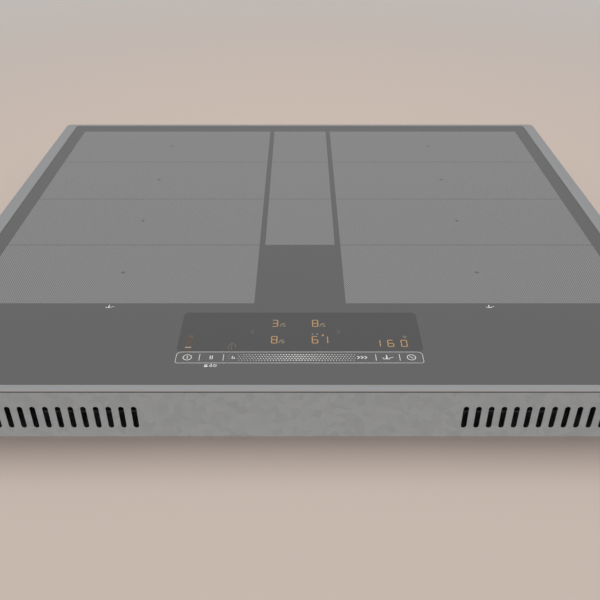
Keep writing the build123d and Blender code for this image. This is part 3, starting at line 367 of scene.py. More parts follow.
# The side clips are bent strips of rolled spring steel on flat feet, and spring in as the cooktop goes into
# its cut-out. Leaf springs of the same strip hold the coil deck up against the glass.
CLIPS = [f"clip_{side}_{end}" for side in ("left", "right") for end in ("front", "rear")]
SPRING_DARK = (0.30, 0.31, 0.32, 1.0)
SPRING_LIGHT = (0.46, 0.47, 0.485, 1.0)
ROLL_STRETCH = (1500.0, 25.0, 1500.0)
ROLL_SHARE = 0.6
ROLL_RELIEF = 0.00002
TEMPER_CLOUDS_PER_METRE = 60.0


def rolled_strip():
    """Roll lines along Y with a faint blue-grey temper."""
    finish = Finish("rolled_spring_strip")
    lines = finish.lines(ROLL_STRETCH)
    temper = finish.noise(TEMPER_CLOUDS_PER_METRE, detail=2.0)
    return finish.surface({
        "Base Color": finish.mix(blend(lines, temper, ROLL_SHARE), SPRING_DARK, SPRING_LIGHT),
        "Metallic": 0.95,
        "Roughness": 0.26 + 0.18 * lines,
        "Normal": finish.bump(lines, ROLL_RELIEF),
    })


dress(rolled_strip(), "clip_feet", "deck_springs", *CLIPS)


# Four circuit boards stand on turned brass stand-offs over the casing's floor: two for power, one for the
# filter and one for the supply. With the touch board, they are glass-fibre laminate under green lacquer.
MASK_GREEN = (0.012, 0.105, 0.045, 1.0)
TRACE_GREEN = (0.03, 0.20, 0.085, 1.0)
PAD_TIN = (0.55, 0.55, 0.52, 1.0)
TRACE_PITCH = 4.2
TRACE_SHARE = 0.55
TRACE_PATCHES_PER_METRE = 34.0
TRACE_RELIEF = 0.00003
PADS_PER_METRE = 210.0
PAD_SHARE = 0.13
BRASS_DARK = (0.42, 0.29, 0.11, 1.0)
BRASS_LIGHT = (0.66, 0.49, 0.22, 1.0)
TURNING_STRETCH = (60.0, 60.0, 4000.0)


def lacquered_board():
    """Copper tracks under the lacquer: stripes that run one way or the other by patches, and tinned pads."""
    finish = Finish("lacquered_board")
    x, y, _ = finish.axes()
    patch = finish.cell_tone(TRACE_PATCHES_PER_METRE, "Green") > 0.5
    along = blend(x, y, patch)
    stripe = (along / TRACE_PITCH).math("FRACT") < TRACE_SHARE
    pad = finish.cells(PADS_PER_METRE) < PAD_SHARE
    tracks = finish.mix(stripe, MASK_GREEN, TRACE_GREEN)
    return finish.surface({
        "Base Color": finish.mix(pad, tracks, PAD_TIN),
        "Roughness": 0.28 + 0.12 * stripe,
        "Normal": finish.bump(stripe, TRACE_RELIEF),
        "Coat Weight": 0.3,
    })


def turned_brass():
    """Fine turning rings up the post."""
    finish = Finish("turned_brass")
    rings = finish.lines(TURNING_STRETCH, detail=2.0)
    return finish.surface({
        "Base Color": finish.mix(rings, BRASS_DARK, BRASS_LIGHT),
        "Metallic": 1.0,
        "Roughness": 0.25 + 0.15 * rings,
    })


dress(lacquered_board(), "power_board_left", "power_board_right", "filter_board", "supply_board",
      "touch_board")
dress(turned_brass(), "board_standoffs")


# Film capacitors, power transistors and the number displays are potted in moulded plastic cases.
# The cases come from smooth tools, so they are glossier than the housings, with a slight shrink on each face.
CAPACITOR_BLUE = (0.035, 0.085, 0.24, 1.0)
CAPACITOR_BLUE_LIGHT = (0.06, 0.13, 0.32, 1.0)
PACKAGE_BLACK = (0.016, 0.016, 0.017, 1.0)
PACKAGE_GREY = (0.04, 0.04, 0.042, 1.0)
DISPLAY_DARK = (0.03, 0.012, 0.01, 1.0)
DISPLAY_RED = (0.06, 0.025, 0.02, 1.0)
FLOW_MARKS_PER_METRE = 14.0
GRAIN_SHARE = 0.45


def moulded(name, dark, light, grain, relief, roughness):
    """Moulded plastic: a fine eroded grain in relief, and a slow drift of tone from the flow of the melt."""
    finish = Finish(name)
    texture = finish.noise(grain, detail=2.0)
    flow = finish.noise(FLOW_MARKS_PER_METRE)
    return finish.surface({
        "Base Color": finish.mix(blend(texture, flow, GRAIN_SHARE), dark, light),
        "Roughness": roughness + 0.14 * texture,
        "Normal": finish.bump(texture, relief),
    })


dress(moulded("capacitor_case", CAPACITOR_BLUE, CAPACITOR_BLUE_LIGHT,
              grain=600.0, relief=0.00002, roughness=0.22),
      "filter_capacitors", "resonance_capacitors_left", "resonance_capacitors_right")
dress(moulded("transistor_package", PACKAGE_BLACK, PACKAGE_GREY,
              grain=2200.0, relief=0.00002, roughness=0.42),
      "power_transistors_left", "power_transistors_right")
dress(moulded("display_case", DISPLAY_DARK, DISPLAY_RED, grain=500.0, relief=0.00001, roughness=0.2),
      "display_modules")


# Two chokes on the filter board are ring cores wound with one layer of lacquered copper wire.
# The turns lie side by side, closer on the inside of the ring than on the outside.
CHOKE_TURNS = 46
CHOKE_STEPS_PER_TURN = 6
CHOKE_SECTION_STEPS = 24
CHOKE_WIRE_RELIEF = 0.55
COPPER_DARK = (0.36, 0.125, 0.05, 1.0)
COPPER_LIGHT = (0.62, 0.27, 0.125, 1.0)
LACQUER_CLOUDS_PER_METRE = 240.0


def wound_ring(centre, ring_radius, section):
    """A ring with a round section, which swells and narrows once for each turn of wire round the ring."""
    round_ring = np.linspace(0, 2 * math.pi, CHOKE_TURNS * CHOKE_STEPS_PER_TURN, endpoint=False)[:, None]
    round_section = np.linspace(0, 2 * math.pi, CHOKE_SECTION_STEPS, endpoint=False)[None, :]
    dip = CHOKE_WIRE_RELIEF * (1 - np.abs(np.sin(CHOKE_TURNS / 2 * round_ring)))
    radius = section - dip
    out = ring_radius + radius * np.cos(round_section)
    up = radius * np.sin(round_section)
    points = np.stack([out * np.cos(round_ring), out * np.sin(round_ring), up], axis=-1)
    return points + np.array(centre), [grid_faces(*points.shape[:2], True, True)]


def lacquered_copper():
    """Copper seen through a clear amber lacquer."""
    finish = Finish("lacquered_copper")
    tint = finish.noise(LACQUER_CLOUDS_PER_METRE)
    return finish.surface({
        "Base Color": finish.mix(tint, COPPER_DARK, COPPER_LIGHT),
        "Metallic": 0.9,
        "Roughness": 0.3 + 0.14 * tint,
        "Coat Weight": 0.4,
    })


def chokes():
    """Two rings that fill the space of the solids, one at each end of it."""
    low, high = box_of("filter_chokes")
    outer = (high[1] - low[1]) / 2
    section = (high[2] - low[2]) / 2
    middle = (low + high) / 2
    ends = (low[0] + outer, high[0] - outer)
    return [wound_ring((x, middle[1], middle[2]), outer - section, section) for x in ends]


copper = lacquered_copper()
wound_chokes = piece("wound_chokes", chokes(), copper, "cooktop")
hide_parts("filter_chokes")


# The supply transformer is a small block of coils wrapped in yellow polyester tape.
# The tape goes round it in level bands that overlap by a little.
TAPE_DARK = (0.55, 0.38, 0.035, 1.0)
TAPE_LIGHT = (0.74, 0.56, 0.10, 1.0)
TAPE_BAND = 5.5
TAPE_LAP_RELIEF = 0.00006


def polyester_tape():
    """Level bands, each with a dark lap at its lower edge."""
    finish = Finish("polyester_tape")
    _, _, z = finish.axes()
    lap = (z / TAPE_BAND).math("FRACT")
    return finish.surface({
        "Base Color": finish.mix(lap, TAPE_DARK, TAPE_LIGHT),
        "Roughness": 0.3,
        "Normal": finish.bump(lap, TAPE_LAP_RELIEF),
    })


dress(polyester_tape(), "supply_transformer")


# Two heat sinks are cut from one aluminium extrusion, with their fins along the cooling air. The plate that
# carries the coils is sheet of the same metal. Both keep their mill finish.
MILL_DARK = (0.50, 0.51, 0.52, 1.0)
MILL_LIGHT = (0.70, 0.71, 0.72, 1.0)
DIE_STRETCH = (1800.0, 12.0, 1800.0)
DIE_SHARE = 0.6
DIE_RELIEF = 0.00002
MILL_MOTTLES_PER_METRE = 45.0


def mill_aluminium():
    """Die lines along Y over a pale mottle."""
    finish = Finish("mill_aluminium")
    lines = finish.lines(DIE_STRETCH)
    mottle = finish.noise(MILL_MOTTLES_PER_METRE, detail=4.0)
    return finish.surface({
        "Base Color": finish.mix(blend(lines, mottle, DIE_SHARE), MILL_DARK, MILL_LIGHT),
        "Metallic": 0.95,
        "Roughness": 0.3 + 0.2 * lines,
        "Normal": finish.bump(lines, DIE_RELIEF),
    })


dress(mill_aluminium(), "heat_sink_left", "heat_sink_right", "coil_plate")


# Each cooling fan is a moulded scroll housing with a bell-shaped motor under its roof and a drum impeller.
# The housing and the impeller are injection moulded. The motor's shell is pressed steel under dark lacquer.
HOUSING_DARK = (0.028, 0.028, 0.03, 1.0)
HOUSING_LIGHT = (0.055, 0.055, 0.058, 1.0)
IMPELLER_DARK = (0.045, 0.046, 0.05, 1.0)
IMPELLER_LIGHT = (0.085, 0.086, 0.092, 1.0)
MOTOR_DARK = (0.06, 0.061, 0.065, 1.0)
MOTOR_LIGHT = (0.12, 0.122, 0.128, 1.0)

black_moulding = moulded("spark_eroded_black", HOUSING_DARK, HOUSING_LIGHT,
                         grain=1400.0, relief=0.00005, roughness=0.46)
dress(black_moulding, "fan_housing_left", "fan_housing_right", "spring_posts")
dress(moulded("impeller_moulding", IMPELLER_DARK, IMPELLER_LIGHT,
              grain=1800.0, relief=0.00003, roughness=0.38),
      "fan_impeller_left", "fan_impeller_right")
dress(moulded("motor_lacquer", MOTOR_DARK, MOTOR_LIGHT, grain=500.0, relief=0.00002, roughness=0.24),
      "fan_motor_left", "fan_motor_right")


# The coils are flat spirals of twisted copper wire on moulded plates: four long ones under each side zone and
# three short ones under the centre strip. Every turn lies against the one before it.
SIDE_COILS = 4
CENTRE_COILS = 3
SIDE_WINDING_WIDTH = 30.0
CENTRE_WINDING_WIDTH = 15.0
WIRE_PITCH = 2.5
WIRE_SECTORS = 10
COIL_STEPS_PER_TURN = 40
COIL_PITCH = 95.0


def carried(path, profile, closed):
    """A profile of sideways and upward offsets carried along a level path, mitred at each of its points."""
    path = np.asarray(path, float)
    step = np.roll(path, -1, axis=0) - path
    if not closed:
        step[-1] = step[-2]
    run = step / np.linalg.norm(step, axis=1, keepdims=True)
    normal = np.stack([-run[:, 1], run[:, 0]], axis=-1)
    before = np.roll(normal, 1, axis=0)
    if not closed:
        before[0] = normal[0]
    mitre = (before + normal) / (1 + np.sum(before * normal, axis=1, keepdims=True))
    plan = path[:, None] + mitre[:, None] * profile[:, :1]
    level = np.broadcast_to(profile[:, 1:], plan.shape[:2] + (1,))
    return np.concatenate([plan, level], axis=-1), tube_faces(len(path), len(profile), closed)


def spiral(centre, length, depth, width, levels):
    """Spiral of a long round outline: the radius grows evenly with the angle, and each half is moved outwards
    by half of the outline's straight run. The wire's section is an oval as high as the winding."""
    turns = width / WIRE_PITCH
    angle = np.linspace(0, 2 * math.pi * turns, int(turns * COIL_STEPS_PER_TURN))
    narrow = min(length, depth)
    inner = narrow / 2 - width + WIRE_PITCH / 2
    radius = inner + (width - WIRE_PITCH) * angle / angle[-1]
    x = radius * np.cos(angle)
    y = radius * np.sin(angle)
    if length > depth:
        x = x + np.sign(np.cos(angle)) * (length - depth) / 2
    else:
        y = y + np.sign(np.sin(angle)) * (depth - length) / 2
    section = np.linspace(0, 2 * math.pi, WIRE_SECTORS, endpoint=False)
    half_height = (levels[1] - levels[0]) / 2
    profile = np.stack([WIRE_PITCH / 2 * np.cos(section), half_height * np.sin(section)], axis=-1)
    profile[:, 1] += (levels[0] + levels[1]) / 2
    path = np.stack([x + centre[0], y + centre[1]], axis=-1)
    return carried(path, profile, False)


def wind(node, count, width):
    """Replaces a coil's solid, or a row of them along Y, with wound wire in the same space."""
    low, high = box_of(node)
    depth = high[1] - low[1] - COIL_PITCH * (count - 1)
    x = (low[0] + high[0]) / 2
    parts = []
    for index in range(count):
        y = low[1] + depth / 2 + index * COIL_PITCH
        parts.append(spiral((x, y), high[0] - low[0], depth, width, (low[2], high[2])))
    made = piece(f"{node}_wound", parts, copper, "cooktop")
    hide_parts(node)


for side in ("left", "right"):
    for row in range(SIDE_COILS):
        wind(f"coil_{side}_{row + 1}", 1, SIDE_WINDING_WIDTH)
wind("coils_centre", CENTRE_COILS, CENTRE_WINDING_WIDTH)


# Under the coils lie pale moulded formers and dark sintered ferrite bars, with a ceramic sensor in each coil.
# A sheet of pressed mica keeps the coils off the hot glass, and sleeved leads go down to the power boards.
FORMER_DARK = (0.55, 0.55, 0.53, 1.0)
FORMER_LIGHT = (0.72, 0.72, 0.70, 1.0)
FERRITE_DARK = (0.035, 0.035, 0.038, 1.0)
FERRITE_LIGHT = (0.085, 0.085, 0.09, 1.0)
CERAMIC_DARK = (0.68, 0.68, 0.655, 1.0)
CERAMIC_LIGHT = (0.82, 0.82, 0.80, 1.0)
MICA_DARK = (0.42, 0.37, 0.29, 1.0)
MICA_LIGHT = (0.66, 0.61, 0.52, 1.0)
SLEEVE_DARK = (0.58, 0.56, 0.52, 1.0)
SLEEVE_LIGHT = (0.76, 0.74, 0.70, 1.0)
MICA_FLAKES_PER_METRE = 260.0
MICA_CLOUDS_PER_METRE = 40.0
MICA_FLAKE_SHARE = 0.5
MICA_RELIEF = 0.00003


def pressed_mica():
    """Small overlapping flakes, some of them glossy."""
    finish = Finish("pressed_mica")
    flake = finish.cell_tone(MICA_FLAKES_PER_METRE, "Blue")
    cloud = finish.noise(MICA_CLOUDS_PER_METRE, detail=4.0)
    return finish.surface({
        "Base Color": finish.mix(blend(flake, cloud, MICA_FLAKE_SHARE), MICA_DARK, MICA_LIGHT),
        "Roughness": 0.3 + 0.3 * flake,
        "Normal": finish.bump(flake, MICA_RELIEF),
    })


dress(moulded("former_moulding", FORMER_DARK, FORMER_LIGHT, grain=1200.0, relief=0.00003, roughness=0.42),
      "coil_formers")
dress(moulded("sintered_ferrite", FERRITE_DARK, FERRITE_LIGHT, grain=700.0, relief=0.00008, roughness=0.5),
      "ferrite_bars")
dress(moulded("sensor_ceramic", CERAMIC_DARK, CERAMIC_LIGHT, grain=900.0, relief=0.00003, roughness=0.5),
      "coil_sensors")
dress(pressed_mica(), "insulation_sheet")
dress(moulded("woven_sleeve", SLEEVE_DARK, SLEEVE_LIGHT, grain=2400.0, relief=0.0001, roughness=0.55),
      "coil_leads")


# The touch panel hangs under the glass in a moulded tray. Springy contact pads press up to the glass, and a
# flat cable of parallel wires goes down to the left power board.
# The cable's grey is painted shade in the grooves between the wires; the pale tone lies on their crests.
RIBBON_GROOVE_SHADE = (0.34, 0.34, 0.35, 1.0)
RIBBON_PALE = (0.52, 0.52, 0.53, 1.0)
RIBBON_WIRE_PITCH = 1.27
RIBBON_RELIEF = 0.0002
CONTACT_DARK = (0.05, 0.05, 0.052, 1.0)
CONTACT_LIGHT = (0.13, 0.13, 0.135, 1.0)
CARRIER_DARK = (0.045, 0.045, 0.047, 1.0)
CARRIER_LIGHT = (0.075, 0.075, 0.078, 1.0)


def flat_cable():
    """Round wires side by side across X, in relief, with painted shade darker in the grooves between them."""
    finish = Finish("flat_cable")
    x, _, _ = finish.axes()
    crest = abs((x * (math.pi / RIBBON_WIRE_PITCH)).math("SINE"))
    return finish.surface({
        # Painted shade: darker in the grooves, paler on the crests.
        "Base Color": finish.mix(crest, RIBBON_GROOVE_SHADE, RIBBON_PALE),
        "Roughness": 0.42,
        "Normal": finish.bump(crest, RIBBON_RELIEF),
    })


dress(moulded("carrier_moulding", CARRIER_DARK, CARRIER_LIGHT, grain=1300.0, relief=0.00004, roughness=0.45),
      "control_carrier")
dress(moulded("contact_foam", CONTACT_DARK, CONTACT_LIGHT, grain=1600.0, relief=0.0002, roughness=0.75),
      "touch_contacts")
dress(flat_cable(), "control_ribbon")


# The trim frame is a thin flat band of stainless steel round the glass, ground lengthwise with a fine belt.
# A black bead bonds the glass to its inner ledge, and a foam gasket under its flange seals the cut-out.
STEEL_DARK = (0.63, 0.638, 0.648, 1.0)
STEEL_LIGHT = (0.79, 0.798, 0.808, 1.0)
# The upright edge of the flange is painted darker between the next two heights: painted shade.
EDGE_SHADE_STEEL = (0.47, 0.465, 0.46, 1.0)
EDGE_SHADE_FROM = 0.95
EDGE_SHADE_TO = 1.9
FRAME_MIDDLE = (280.0, 250.0)
GRIND_STRETCH = (9.0, 1400.0, 1400.0)
GRIND_SHARE = 0.75
GRIND_RELIEF = 0.000012
STEEL_CLOUDS_PER_METRE = 11.0
BEAD_DARK = (0.018, 0.018, 0.019, 1.0)
BEAD_LIGHT = (0.035, 0.035, 0.037, 1.0)
FOAM_DARK = (0.02, 0.02, 0.021, 1.0)
FOAM_LIGHT = (0.06, 0.06, 0.062, 1.0)


def between(value, low, high):
    """1 inside two limits and 0 outside them."""
    return (value > low) * (value < high)


def belt_ground_steel():
    """Grinding lines along each leg of the frame, which meet on the mitre at its corners; the upright edge of
    the flange is painted darker between two heights: painted shade on that edge."""
    finish = Finish("belt_ground_steel")
    x, y, z = finish.axes()
    side = (abs(x) - FRAME_MIDDLE[0]) > (abs(y) - FRAME_MIDDLE[1])
    along_x = finish.lines(GRIND_STRETCH, detail=4.0)
    along_y = finish.lines((GRIND_STRETCH[1], GRIND_STRETCH[0], GRIND_STRETCH[2]), detail=4.0)
    lines = blend(along_y, along_x, side)
    cloud = finish.noise(STEEL_CLOUDS_PER_METRE)
    ground = finish.mix(blend(lines, cloud, GRIND_SHARE), STEEL_DARK, STEEL_LIGHT)
    return finish.surface({
        # Painted shade: the flange's upright edge is darker than the ground steel.
        "Base Color": finish.mix(between(z, EDGE_SHADE_FROM, EDGE_SHADE_TO), ground, EDGE_SHADE_STEEL),
        "Metallic": 1.0,
        "Roughness": 0.26 + 0.12 * lines + 0.06 * cloud,
        "Normal": finish.bump(lines, GRIND_RELIEF),
    })


dress(belt_ground_steel(), "trim_frame")
dress(moulded("bonding_bead", BEAD_DARK, BEAD_LIGHT, grain=300.0, relief=0.00005, roughness=0.4),
      "glass_bond")
dress(moulded("gasket_foam", FOAM_DARK, FOAM_LIGHT, grain=2200.0, relief=0.0002, roughness=0.8),
      "worktop_seal")


# The top is one plate of glass-ceramic, printed grey on its face before it is fired.
# Fine dots make the cooking zones paler than the ground, thin gaps part their segments, and the ground has a
# darker window over the displays.
GLASS_FRONT = -249.1
GROUND = (0.118, 0.118, 0.1175, 1.0)
ZONE_WASH = (0.170, 0.170, 0.1695, 1.0)
DOT = (0.275, 0.275, 0.274, 1.0)
WINDOW = (0.081, 0.081, 0.081, 1.0)
ZONE_INNER = 36.5
ZONE_OUTER = 264.5
ZONE_FRONT = -149.5
ZONE_REAR = 230.5
SEGMENT = 95.0
STRIP_HALF = 31.4
STRIP_FRONT = ZONE_FRONT + SEGMENT
SEGMENT_LINE = 0.9
CROSS_HALF_LENGTH = 2.2
CROSS_HALF_WIDTH = 0.5
DOT_PITCH_ACROSS = 1.7
DOT_PITCH_BACK = 2.9
WINDOW_HALF = 90.0
WINDOW_FROM = 37.3
WINDOW_TO = 87.0
WINDOW_CORNER = 4.0
FILM_CLOUDS_PER_METRE = 7.0


def printed_glass():
    """Print in plan: zones are boxes with a pale wash and staggered dots, less the gaps and centre crosses;
    the window is a box with round corners, found from the distance to it."""
    finish = Finish("printed_glass")
    x, y, _ = finish.axes()
    across = abs(x)
    sides = between(across, ZONE_INNER, ZONE_OUTER) * between(y, ZONE_FRONT, ZONE_REAR)
    strip = (across < STRIP_HALF) * between(y, STRIP_FRONT, ZONE_REAR)
    from_line = abs((y - (ZONE_FRONT + SEGMENT / 2)).math("WRAP", SEGMENT / 2, -SEGMENT / 2))
    gap = from_line > (SEGMENT - SEGMENT_LINE) / 2
    from_middle = abs(across - (ZONE_INNER + ZONE_OUTER) / 2)
    upright = (from_middle < CROSS_HALF_WIDTH) * (from_line < CROSS_HALF_LENGTH)
    level = (from_middle < CROSS_HALF_LENGTH) * (from_line < CROSS_HALF_WIDTH)
    cross = upright.math("MAXIMUM", level)
    zone = (sides + strip) * (1 - gap) * (1 - cross)
    columns = (x * (2 * math.pi / DOT_PITCH_ACROSS)).math("SINE")
    rows = (y * (2 * math.pi / DOT_PITCH_BACK)).math("SINE")
    dots = columns * rows > 0.0
    window_middle = GLASS_FRONT + (WINDOW_FROM + WINDOW_TO) / 2
    window_depth = (WINDOW_TO - WINDOW_FROM) / 2
    over_x = (across - (WINDOW_HALF - WINDOW_CORNER)).math("MAXIMUM", 0.0)
    over_y = (abs(y - window_middle) - (window_depth - WINDOW_CORNER)).math("MAXIMUM", 0.0)
    window = (over_x * over_x + over_y * over_y) < WINDOW_CORNER ** 2
    ground = finish.mix(window, GROUND, WINDOW)
    film = finish.noise(FILM_CLOUDS_PER_METRE)
    return finish.surface({
        "Base Color": finish.mix(zone, ground, finish.mix(dots, ZONE_WASH, DOT)),
        "Roughness": 0.1 + 0.06 * film + 0.05 * zone * dots,
        "IOR": 1.5,
    })


dress(printed_glass(), "glass_top")


# The panel's signs are fired white enamel: a rounded band with the slider's dots in its middle, keys to each
# side of them, and a pan sign at each side zone. The band carries plain signs only.
PRINT_BASE = 2.29
PRINT_TOP = 2.34
OUTLINE_WIDTH = 0.34
OUTLINE_LEFT = -89.0
OUTLINE_RIGHT = 88.3
OUTLINE_FROM = 24.0
OUTLINE_TO = 36.7
OUTLINE_FRONT_CORNER = 2.0
OUTLINE_REAR_CORNER = 3.6
OUTLINE_FIRST_ANGLE = 2.0
OUTLINE_STEPS = 60
KEY_ROW = 30.4
KEY_RADIUS = 3.0
KEY_LINE = 0.56
SEPARATOR_HEIGHT = 7.4
SEPARATOR_WIDTH = 0.45
SEPARATORS = (-72.2, -55.0, 54.5, 71.6)
POWER_KEY = -80.9
POWER_STROKE = 3.2
PAUSE_KEY = -63.7
PAUSE_HALF_GAP = 0.74
PAUSE_BAR = (0.66, 4.1)
LEVEL_SIGN = -47.8
LEVEL_SIGN_BARS = ((-0.8, 0.0, 0.6, 3.6), (0.6, -0.7, 0.7, 2.2))
CHEVRONS = (42.0, 44.6, 47.2)
CHEVRON_LINE = 0.74
PAN_KEY = (63.2, 30.0)
PAN_KEY_SIZE = 0.95
PAN_LINE = 0.55
CLOCK_KEY = 80.0
HOLD_ROW = 21.0
HOLD_LINE = 0.42
LOCK_PLACE = -66.6
LOCK_BODY = (2.4, 1.7)
LOCK_BODY_DROP = 0.7
SHACKLE_RISE = 0.4
SHACKLE_RADIUS = 0.95
HOLD_FIGURE = -63.1
HOLD_CLOCK = -60.3
HOLD_CLOCK_RADIUS = 1.2
ZONE_SIGN = (150.5, 95.0)
ZONE_SIGN_SIZE = 0.8
ENAMEL_DARK = (0.72, 0.72, 0.71, 1.0)
ENAMEL_LIGHT = (0.86, 0.86, 0.85, 1.0)
ENAMEL_GRAIN_PER_METRE = 1500.0


def on_glass(plan):
    """Plan points given across the panel and back from the glass's front edge, in the part's frame."""
    return np.asarray(plan, float) + (0.0, GLASS_FRONT)


def stroke(plan, width, closed=False):
    """A printed line: a flat band of one width carried along a path."""
    half = width / 2
    profile = np.array([(-half, PRINT_BASE), (half, PRINT_BASE), (half, PRINT_TOP), (-half, PRINT_TOP)])
    return carried(on_glass(plan), profile, closed)


def slabs(outlines):
    """Printed patches: each outline is raised from the base of the print to its top."""
    outlines = on_glass(outlines)
    count, corners = outlines.shape[:2]
    levels = np.array([PRINT_BASE, PRINT_TOP])
    plan = np.broadcast_to(outlines[:, None], (count, len(levels), corners, 2))
    height = np.broadcast_to(levels[:, None, None], (count, len(levels), corners, 1))
    points = np.concatenate([plan, height], axis=-1)
    first = len(levels) * corners * np.arange(count)[:, None, None]
    one = tube_faces(len(levels), corners, False)
    return points, [(first + faces).reshape(-1, faces.shape[1]) for faces in one]


def bars(boxes):
    """Upright patches given as centre X, centre Y, width and height."""
    boxes = np.asarray(boxes, float)
    corner = np.array([(-0.5, -0.5), (0.5, -0.5), (0.5, 0.5), (-0.5, 0.5)])
    return slabs(boxes[:, None, :2] + corner * boxes[:, None, 2:])


def arc(centre, radius, start, end, steps=40):
    """Points round a circle from one angle to another, in degrees."""
    angle = np.radians(np.linspace(start, end, steps))
    return np.stack([centre[0] + radius * np.cos(angle), centre[1] + radius * np.sin(angle)], axis=-1)


def circle(centre, radius, steps=48):
    """Points once round a circle."""
    return arc(centre, radius, 0.0, 360.0 * (1 - 1 / steps), steps)


def panel_outline():
    """A quarter circle at each corner, moved out by the sign of its cosine and sine, and tighter in front."""
    angle = np.radians(np.linspace(OUTLINE_FIRST_ANGLE, 360.0 - OUTLINE_FIRST_ANGLE, OUTLINE_STEPS))
    rear = np.sin(angle) > 0
    corner = np.where(rear, OUTLINE_REAR_CORNER, OUTLINE_FRONT_CORNER)
    side = np.where(np.cos(angle) > 0, OUTLINE_RIGHT - corner, OUTLINE_LEFT + corner)
    end = np.where(rear, OUTLINE_TO - corner, OUTLINE_FROM + corner)
    return np.stack([side + corner * np.cos(angle), end + corner * np.sin(angle)], axis=-1)


def pan_sign(centre, size):
    """A shallow pan from the side: its bowl and handle are strokes, and a pointed flame stands in it."""
    bowl = np.array([(-4.0, 0.1), (-3.4, -1.5), (0.9, -1.5), (1.6, 0.1)])
    handle = np.array([(1.5, -0.1), (2.7, 0.3), (4.1, 0.5)])
    flame = np.array([(-2.0, -1.15), (-0.2, -1.15), (-0.5, 0.6), (-0.6, 3.3), (-1.3, 3.3), (-1.5, 0.6)])
    lines = [stroke(centre + size * line, size * PAN_LINE) for line in (bowl, handle)]
    return lines + [slabs([centre + size * flame])]


def hold_sign():
    """A padlock, the figure 4 and a small clock: the key over them locks the panel when it is held."""
    body = bars([(LOCK_PLACE, HOLD_ROW - LOCK_BODY_DROP, *LOCK_BODY)])
    shackle = arc((LOCK_PLACE, HOLD_ROW + SHACKLE_RISE), SHACKLE_RADIUS, 0.0, 180.0, 12)
    four = np.array([(0.35, -1.8), (0.35, 1.8), (-1.1, -0.6), (0.1, -0.6)])
    stub = np.array([(0.59, -0.6), (1.01, -0.6)])
    lines = [shackle, four + (HOLD_FIGURE, HOLD_ROW), stub + (HOLD_FIGURE, HOLD_ROW)]
    ring = stroke(circle((HOLD_CLOCK, HOLD_ROW), HOLD_CLOCK_RADIUS, 24), HOLD_LINE, True)
    hands = np.array([(0.0, 0.9), (0.0, 0.0), (0.6, 0.0)])
    clock = [ring, stroke(hands + (HOLD_CLOCK, HOLD_ROW), HOLD_LINE / 2)]
    return [body] + [stroke(line, HOLD_LINE) for line in lines] + clock


def panel_signs():
    """All the white signs of the panel and of the zones."""
    parts = [stroke(panel_outline(), OUTLINE_WIDTH, True)]
    parts.append(bars([(x, KEY_ROW, SEPARATOR_WIDTH, SEPARATOR_HEIGHT) for x in SEPARATORS]))
    parts.append(stroke(circle((POWER_KEY, KEY_ROW), KEY_RADIUS), KEY_LINE, True))
    parts.append(bars([(POWER_KEY, KEY_ROW, KEY_LINE, POWER_STROKE)]))
    parts.append(bars([(PAUSE_KEY + side * PAUSE_HALF_GAP, KEY_ROW, *PAUSE_BAR) for side in (-1, 1)]))
    parts.append(bars(np.array(LEVEL_SIGN_BARS) + (LEVEL_SIGN, KEY_ROW, 0.0, 0.0)))
    chevron = np.array([(-0.8, -1.5), (0.8, 0.0), (-0.8, 1.5)])
    parts += [stroke(chevron + (x, KEY_ROW), CHEVRON_LINE) for x in CHEVRONS]
    parts += pan_sign(np.array(PAN_KEY), PAN_KEY_SIZE)
    parts.append(stroke(circle((CLOCK_KEY, KEY_ROW), KEY_RADIUS), KEY_LINE, True))
    hands = np.array([(-1.3, 1.5), (0.0, 0.0), (1.4, -1.0)])
    parts.append(stroke(hands + (CLOCK_KEY, KEY_ROW), KEY_LINE))
    parts += hold_sign()
    for side in (-1, 1):
        parts += pan_sign(np.array(ZONE_SIGN) * (side, 1), ZONE_SIGN_SIZE)
    return parts


def fired_enamel():
    """White enamel, a little uneven in cover."""
    finish = Finish("fired_enamel")
    cover = finish.noise(ENAMEL_GRAIN_PER_METRE, detail=2.0)
    return finish.surface({
        "Base Color": finish.mix(cover, ENAMEL_DARK, ENAMEL_LIGHT),
        "Roughness": 0.3 + 0.1 * cover,
    })


enamel = fired_enamel()
piece("panel_signs", panel_signs(), enamel, "cooktop")


# The slider is a field of small enamel diamonds in staggered rows between the keys.
# They are largest in the middle of the slider and dwindle towards its ends.
SLIDER_FROM = -51.8
SLIDER_TO = 40.0
SLIDER_MIDDLE = -0.5
SLIDER_ROWS = 4
SLIDER_ROW_FROM = 27.2
SLIDER_ROW_PITCH = 2.1
SLIDER_PITCH = 2.05
SLIDER_SIGN_GAP = 2.2
DIAMOND_LARGE = 0.745
DIAMOND_SMALL = 0.41


def slider_dots():
    """Diamonds in rows, every second row set over by half a pitch and none round the level sign; their area
    falls off evenly with the distance from the slider's middle."""
    x = np.arange(SLIDER_FROM, SLIDER_TO, SLIDER_PITCH / 2)
    y = SLIDER_ROW_FROM + SLIDER_ROW_PITCH * np.arange(SLIDER_ROWS)
    column, row = np.meshgrid(np.arange(len(x)), np.arange(len(y)), indexing="ij")
    kept = ((column + row) % 2 == 0) & (np.abs(x - LEVEL_SIGN)[column] > SLIDER_SIGN_GAP)
    centres = np.stack([x[column[kept]], y[row[kept]]], axis=-1)
    share = np.abs(centres[:, 0] - SLIDER_MIDDLE) / (SLIDER_TO - SLIDER_MIDDLE)
    lost = (DIAMOND_LARGE ** 2 - DIAMOND_SMALL ** 2) * share
    half = np.sqrt(DIAMOND_LARGE ** 2 - lost)
    diamond = np.array([(-1.0, 0.0), (0.0, -1.0), (1.0, 0.0), (0.0, 1.0)])
    return slabs(centres[:, None] + half[:, None, None] * diamond)


piece("slider_dots", [slider_dots()], enamel, "cooktop")


